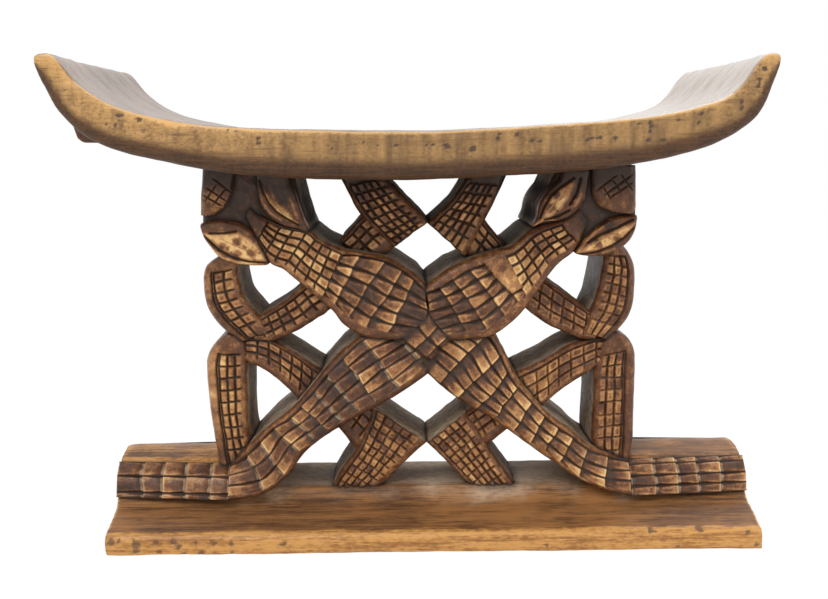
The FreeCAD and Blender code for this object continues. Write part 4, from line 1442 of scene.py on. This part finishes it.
head("left", [((202, 168), (292, 168)), ((201.5, 190), (300, 200)), ((201.5, 215), (306, 226)),
              ((204, 238), (292, 247)), ((217, 256), (272, 262))], left_snout_rows, left_snout_cuts)
head("right", [((558, 168), (636, 168)), ((545, 196), (636.5, 190)), ((536, 224), (637, 215)),
               ((560, 240), (634, 236)), ((578, 252), (614, 252))], right_snout_rows,
     right_snout_cuts)
for number, (node, traced) in enumerate(eyes.items()):
    carve(node, [lobe(**traced, seed=103 + number)])
print("heads: 8 pieces")

# %% [markdown]
# ## Seat, lug, base and ridges
# These are smooth, heavy shapes, and the CAD solids already have them. A copy of each is
# remeshed into even small faces, and a slight unevenness and wear are added, because a
# hand-worked surface is never quite flat and its edges have softened.

# %% Remeshing
smooth_angle = 60


def remeshed(node, pitch):
    """A copy of a CAD node as an even mesh, as arrays of points, normals and faces."""
    copy = bpy.data.objects.new("remesh_work", frame["nodes"][node].data.copy())
    bpy.context.scene.collection.objects.link(copy)
    modifier = copy.modifiers.new("even", "REMESH")
    modifier.mode = "VOXEL"
    modifier.voxel_size = pitch
    smoothing = copy.modifiers.new("smooth", "CORRECTIVE_SMOOTH")
    smoothing.use_only_smooth = True
    smoothing.iterations = 3
    evaluated = copy.evaluated_get(bpy.context.evaluated_depsgraph_get())
    mesh = bpy.data.meshes.new_from_object(evaluated)
    points = np.zeros(len(mesh.vertices) * 3)
    mesh.vertices.foreach_get("co", points)
    normals = np.zeros(len(mesh.vertices) * 3)
    mesh.vertices.foreach_get("normal", normals)
    faces = [list(polygon.vertices) for polygon in mesh.polygons]
    edges = np.zeros(len(mesh.edges) * 2, int)
    mesh.edges.foreach_get("vertices", edges)
    bpy.data.objects.remove(copy)
    return points.reshape(-1, 3), normals.reshape(-1, 3), faces, edges.reshape(-1, 2)


def averaged(values, edges, times):
    """Values at points, each blended with its neighbours' so many times."""
    count = np.bincount(edges.ravel(), minlength=len(values))[:, None]
    values = values.reshape(len(values), -1).astype(float)
    for _ in range(times):
        total = np.zeros_like(values)
        np.add.at(total, edges[:, 0], values[edges[:, 1]])
        np.add.at(total, edges[:, 1], values[edges[:, 0]])
        values = 0.5 * values + 0.5 * total / np.maximum(count, 1)
    return values


def sharpness(points, normals, edges):
    """How far a point stands out from its surroundings, in millimetres."""
    around = averaged(points, edges, 8)
    return ((points - around) * normals).sum(axis=1) / mm


def smooth_piece(node, material, pitch_mm, unevenness_mm, numbers_of):
    """A remeshed piece for a CAD node, pulled in by a slight unevenness."""
    points, normals, faces, edges = remeshed(node, pitch_mm * mm)
    sharp = sharpness(points, normals, edges)
    numbers = numbers_of(points, normals, sharp)
    uneven = 0.6 * ripple_of(points, 60 * mm, 5) + 0.4 * ripple_of(points, 22 * mm, 6)
    inward = (0.5 * uneven - 0.5) * (unevenness_mm * mm) - numbers.pop("pit", 0) * mm
    points = np.clip(points + normals * inward[:, None], *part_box(node))
    piece = mesh_object(node + "_worn", points, faces, numbers, material, smooth_angle)
    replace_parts(piece, node)
    print(piece.name, len(points), "points")
    return piece


print("sides are shown smooth below a bend of", smooth_angle, "degrees")

# %% [markdown]
# The seat's front band has dozens of small pits and bruises, a scraped rim and, at the back
# on the right, one crack. Each is a spot at a pixel of the photograph, with a radius and a
# ragged edge. Pits are real hollows in the mesh as well as dark places in its finish.

# %% Marks on the seat
spot_pixel = 0.8 * mm
seat_spots = (
    ((118, 115.5), 3.2), ((138, 119.6), 2.4), ((143, 131), 2.0), ((114.6, 125.4), 1.6), ((81.4, 99), 1.1),
    ((95, 105), 1.0), ((98, 104), 1.2), ((102, 105.5), 1.0), ((93, 111), 0.8), ((94, 118), 1.0),
    ((106, 124), 0.8), ((109.5, 128), 0.9), ((112, 132), 0.8), ((193, 139.5), 1.4), ((227, 129.6), 1.4),
    ((236, 131), 1.0), ((258, 138), 2.6), ((258, 143), 2.4), ((331, 148.5), 1.8), ((363.5, 142), 1.5),
    ((379, 145), 1.5), ((396, 145), 1.8), ((426, 145), 1.4), ((433, 145), 1.6), ((446.6, 146), 3.2),
    ((473, 147.8), 2.8), ((498, 138), 2.8), ((516.7, 134.6), 2.0), ((514.4, 148.4), 1.1),
    ((531, 141), 1.8), ((540, 141), 2.0), ((588, 139.5), 2.2), ((600.5, 137), 2.3), ((615.5, 137.8), 2.8),
    ((639.5, 123.7), 1.5), ((651, 122.5), 3.2), ((650.3, 130.4), 2.0), ((648, 141), 2.2),
    ((662.7, 140.3), 1.6), ((679.3, 118.8), 1.5), ((701.7, 113.8), 2.1), ((699.2, 123), 1.4),
    ((741.5, 103), 1.6), ((741.5, 107.2), 1.6), ((747.3, 113), 1.6), ((760.6, 79), 2.2),
    ((759.6, 84), 2.2), ((764.7, 68.2), 2.0), ((763.9, 93), 1.5),
)
seat_scrapes = (((152, 118), 4.0), ((160, 120), 4.0), ((168, 122.5), 4.5), ((176, 124), 4.0),
                ((184, 125), 3.0))
seat_speckles = (((43, 72), 7), ((50, 82), 8), ((59, 91), 8), ((70, 100), 7), ((168, 132), 6),
                 ((560, 148), 14), ((620, 150), 12), ((660, 132), 12), ((700, 118), 10), ((742, 104), 9))
seat_crack = (((702, 70.5), 1.1), ((699.5, 73.5), 1.1), ((697, 76.5), 1.1), ((694.5, 79.5), 1.0),
              ((692, 82), 1.0), ((689, 85), 0.9), ((686, 87.5), 0.9), ((683, 90), 0.9))


def spots_at(points, spots, depth):
    """1 at the middle of each spot, given by a pixel and a radius in pixels, 0 outside."""
    total = np.zeros(len(points))
    ragged = 1 + 0.35 * ripple_of(points, 7 * mm, 9)
    for spot, radius in spots:
        centre = on_plane((spot,), depth)[0]
        gap = np.linalg.norm((points - centre)[:, [0, 2]], axis=1) * ragged
        total = np.maximum(total, unit(1.5 - gap / (radius * spot_pixel)))
    return total


print("marks on the seat:", len(seat_spots + seat_scrapes + seat_speckles + seat_crack))

# %% [markdown]
# Where the seat is golden, dark or grey follows from its own shape: how far a point lies
# below the upper edge and above the lower one, measured square to the curve, how far in it
# lies from the front, and which way it faces.

# %% The seat and its lug
seat_half_length = 0.28
band_from, front_y, crack_y = 0.128, -0.14, 0.125


def profile(points, values, pick):
    """The highest or the lowest value in each slice of the seat along X, at every point."""
    slice_width = 5 * mm
    start = points[:, 0].min()
    index = ((points[:, 0] - start) / slice_width).astype(int)
    slices = np.array([pick(values[index == i]) for i in range(index.max() + 1)])
    middles = start + (np.arange(len(slices)) + 0.5) * slice_width
    return np.interp(points[:, 0], middles, slices), np.gradient(slices, slice_width)[index]


def seat_numbers(points, normals, sharp):
    depth = np.abs(points[:, 1])
    outer = depth > band_from
    front_points = np.where(outer, points[:, 2], np.nan)
    top, slope = profile(points, front_points, np.nanmax)
    bottom, low_slope = profile(points, front_points, np.nanmin)
    rim_y = profile(points, depth, np.max)[0]
    below = (top - points[:, 2]) / np.hypot(1, slope)
    above = (points[:, 2] - bottom) / np.hypot(1, low_slope)
    inwards = (rim_y - depth) / mm
    edge = unit(1.5 - below / (3.2 * mm)) * unit(1.5 - inwards / 3.5)
    upside = unit(inwards / 2 - 0.6) * unit(8 * normals[:, 2] - 1.5)
    edge = np.maximum(edge, spots_at(points, seat_scrapes, front_y) * (points[:, 1] < -0.12))
    share = above / np.maximum(above + below, mm)
    facing_side = unit(3 * np.abs(normals[:, 1]) - 0.3)
    low = unit((0.54 - share) / 0.38) * outer * facing_side
    low = unit(np.maximum(low, -0.3 - 1.8 * normals[:, 2]))
    out = np.abs(points[:, 0]) / seat_half_length
    right_gold = 0.15 * out ** 1.5 + 0.5 * unit(8 * out - 7)
    gold = np.where(points[:, 0] < 0, 0.72 * out ** 1.2, right_gold)
    gold = np.clip(gold + 0.45 * unit(1 - below / (11 * mm)), 0, 1.2)
    in_front = points[:, 1] < -0.1
    mark = spots_at(points, seat_spots, front_y) * in_front
    speckled = 0.45 * spots_at(points, seat_speckles, front_y) * in_front
    crack = spots_at(points, seat_crack, crack_y) * (points[:, 1] > 0.11)
    mark = np.maximum(mark, np.maximum(crack, speckled))
    return {"edge": edge, "low": low, "gold": gold, "mark": mark, "top": upside,
            "pit": mark * 0.6}


def lug_numbers(points, normals, sharp):
    plain = np.zeros(len(points))
    return {"edge": unit(sharp) * 0.4, "low": plain + 0.8, "gold": plain, "mark": plain,
            "top": plain}


smooth_piece("seat", seat_wood, 2.15, 0.8, seat_numbers)
smooth_piece("seat_lug", seat_wood, 1.4, 0.5, lug_numbers)

# %% [markdown]
# The base is a slab whose top slopes to a lip on both sides, with a ridge on each end. Its
# lip is rubbed and bruised, its deck dusty and painted paler at the back to lift the shade there,
# and its end faces are swept clean.

# %% Base and ridges
base_low, base_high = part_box("base")
lip_start_share = 0.93
lip_spots = (
    ((135.5, 544), 4.5), ((135.5, 551.5), 3.0), ((155.7, 542.5), 3.2), ((159.4, 553), 2.8),
    ((173, 541), 3.8), ((178, 548), 3.6), ((184, 555), 3.0), ((195.4, 544), 2.4), ((200.7, 553), 3.8),
    ((213.4, 544), 3.0), ((215, 553.5), 2.2), ((230.6, 543.2), 2.8), ((232, 553.5), 2.4),
    ((283.8, 543.2), 3.2), ((257, 545.4), 1.5), ((111, 543), 4.5), ((119, 541), 3.0), ((651, 532), 3.0),
    ((701, 530), 3.0), ((678, 547), 2.4), ((748, 533), 3.0), ((757, 545), 2.6), ((546, 545), 2.0),
)


def base_numbers(points, normals, sharp):
    out = np.abs(points[:, 1]) / base_high.y
    lip = unit((out - lip_start_share) * 9 + 0.5)
    end = np.minimum(points[:, 0] - base_low.x, base_high.x - points[:, 0])
    lip = np.maximum(lip, unit(0.9 - end / (6 * mm)) * (sharp > 0.4))
    dust = unit(1.55 - 2.3 * out + 0.25 * ripple_of(points, 50 * mm, 14))
    # painted light: the deck from the middle back gets the full pale dust colour and the front less, to
    # lift the shade at the back
    dust *= np.where(points[:, 1] < -0.032, 0.72, 1.0)
    dust *= np.clip(end / (12 * mm), 0.15, 1)
    mark = spots_at(points, lip_spots, base_low.y) * 0.8
    return {"lip": lip, "dust": dust, "mark": mark, "dirt": np.zeros(len(points)),
            "pit": mark * 0.3}


def ridge_numbers(points, normals, sharp):
    height = points[:, 2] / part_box("left_ridge")[1].z
    rubbed = np.where(points[:, 0] > 0, 0.16, 0.32)
    lip = np.clip(rubbed + 0.15 * normals[:, 2] - 0.4 * (height < 0.7), 0, 0.5)
    lip += np.clip(sharp, 0, 0.2)
    dust = unit(1.2 - 1.4 * height)
    zeros = np.zeros(len(points))
    return {"lip": lip, "dust": dust, "mark": zeros, "dirt": zeros}


base_pieces = [smooth_piece("base", base_wood, 2.4, 0.8, base_numbers)]
for node in ("left_ridge", "right_ridge"):
    base_pieces.append(smooth_piece(node, base_wood, 2.2, 0.8, ridge_numbers))

# %% [markdown]
# ## Dirt and painted shade in the corners
# Polish, dust and soot gather where two members meet, and no cloth gets them out; the shade in
# these creases is painted in with them. Each piece's points are measured against its
# neighbours' surfaces, and those that lie close to one are darkened. A painter would brush a
# wash into the corners to the same end.

# %% Corner dirt and painted shade
corner_shade_reach = 4.5 * mm


def limb_of(piece):
    """A piece's limb: a whole leg, or a trunk with its tail."""
    name = piece.name
    for ending in ("_upper", "_lower", "_front", "_back"):
        name = name.replace(ending, "")
    return name.replace("tail", "hips")


def surface_of(piece):
    mesh = piece.data
    points = [vertex.co for vertex in mesh.vertices]
    return BVHTree.FromPolygons(points, [polygon.vertices for polygon in mesh.polygons])


def add_corner_dirt_and_shade(pieces):
    """Raises each piece's dirt and painted shade where another piece's surface is close."""
    trees = {piece.name: surface_of(piece) for piece in pieces}
    boxes = {}
    for piece in pieces:
        points = np.array([vertex.co for vertex in piece.data.vertices])
        boxes[piece.name] = (points, points.min(axis=0), points.max(axis=0))
    for piece in pieces:
        points, low, high = boxes[piece.name]
        nearest = np.full(len(points), corner_shade_reach)
        for other in pieces:
            other_low, other_high = boxes[other.name][1:]
            apart = (low - corner_shade_reach > other_high).any() or (high + corner_shade_reach < other_low).any()
            if other is piece or apart or limb_of(piece) == limb_of(other):
                continue
            inside = (points > other_low - corner_shade_reach) & (points < other_high + corner_shade_reach)
            inside = inside.all(axis=1)
            tree = trees[other.name]
            for i in np.flatnonzero(inside):
                found = tree.find_nearest(points[i], corner_shade_reach)
                if found[0] is not None and found[3] < nearest[i]:
                    nearest[i] = found[3]
        attribute = piece.data.attributes["dirt"]
        dirt = np.zeros(len(points), np.float32)
        attribute.data.foreach_get("value", dirt)
        # painted shade and dirt: points near another piece are darkened, most where they touch
        corner = 0.88 * (1 - nearest / corner_shade_reach) ** 1.2
        attribute.data.foreach_set("value", np.maximum(dirt, corner).astype(np.float32))


add_corner_dirt_and_shade(carved_pieces + base_pieces)
for piece in [o for o in bpy.context.scene.objects if "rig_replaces" in o]:
    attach(piece, "root")

# %% [markdown]
# ## The white room
# The photograph was taken in a bright white room. Turning up the lamps until the floor is
# white would burn out the wood as well. Instead the floor and the sky ask how a ray reached
# them: the camera and reflections see white, and the light that they give off stays weak.
# The floor keeps a share of its plain paint, and with it the stool's shadow.

# %% Floor and sky
floor_reach = 12.0
floor_white, floor_strength, floor_share = 0.9, 1.06, 0.9
sky_strength = 0.46


def seen_directly(finish):
    """1 for what the camera sees, itself or mirrored, and 0 for light that falls on things."""
    camera_ray, mirrored_ray = (finish.node("ShaderNodeLightPath", {}, {}, name)
                                for name in ("Is Camera Ray", "Is Glossy Ray"))
    return camera_ray.math("MAXIMUM", camera_ray, mirrored_ray)


def white_floor():
    finish = new_material("white_floor")
    paint = finish.node("ShaderNodeBsdfDiffuse", {}, {"Color": (*[floor_white] * 3, 1)})
    glowing = finish.node("ShaderNodeEmission", {},
                          {"Color": (1, 1, 1, 1), "Strength": floor_strength})
    shader = finish.node("ShaderNodeMixShader", {},
                         {0: seen_directly(finish) * floor_share, 1: paint, 2: glowing})
    finish.node("ShaderNodeOutputMaterial", {}, {"Surface": shader})
    return finish.owner


def white_sky():
    sky = Finish(bpy.data.worlds.new("white_room"))
    strength = seen_directly(sky) * (1 - sky_strength) + sky_strength
    background = sky.node("ShaderNodeBackground", {},
                          {"Color": (1, 1, 1, 1), "Strength": strength})
    sky.node("ShaderNodeOutputWorld", {}, {"Surface": background})
    return sky.owner


bpy.context.scene.world = white_sky()
floor_mesh = bpy.data.meshes.new("floor")
corner_signs = ((-1, -1), (1, -1), (1, 1), (-1, 1))
floor_corners = [(x * floor_reach, y * floor_reach, 0) for x, y in corner_signs]
floor_mesh.from_pydata(floor_corners, [], [(0, 1, 2, 3)])
floor_mesh.materials.append(white_floor())
floor = bpy.data.objects.new("floor", floor_mesh)
bpy.context.scene.collection.objects.link(floor)
print("floor:", 2 * floor_reach, "m wide")

# %% [markdown]
# ## Lamps
# The light in the photograph is broad and soft. Square panels give that: a large one above
# on the left in front, a weaker one on the right, and one high behind for the seat's top.
# The Standard view transform then shows each colour about as it is written.

# %% Lamps
stool_middle = (0, 0, 0.2)
panels = {
    "key": ((-0.9, -1.7, 1.9), 1.2, 32),
    "fill": ((1.8, -1.2, 0.9), 1.4, 11),
    "top": ((0.3, 0.9, 2.2), 1.6, 23),
}
for name, (place, size, watts) in panels.items():
    lamp_data = bpy.data.lights.new(name, "AREA")
    lamp_data.size = size
    lamp_data.energy = watts
    lamp = bpy.data.objects.new(name, lamp_data)
    lamp.location = place
    aim = Vector(stool_middle) - Vector(place)
    lamp.rotation_euler = aim.to_track_quat("-Z", "Y").to_euler()
    bpy.context.scene.collection.objects.link(lamp)
bpy.context.scene.view_settings.view_transform = "Standard"
print("lamps:", {name: f"{watts} W" for name, (_, _, watts) in panels.items()})
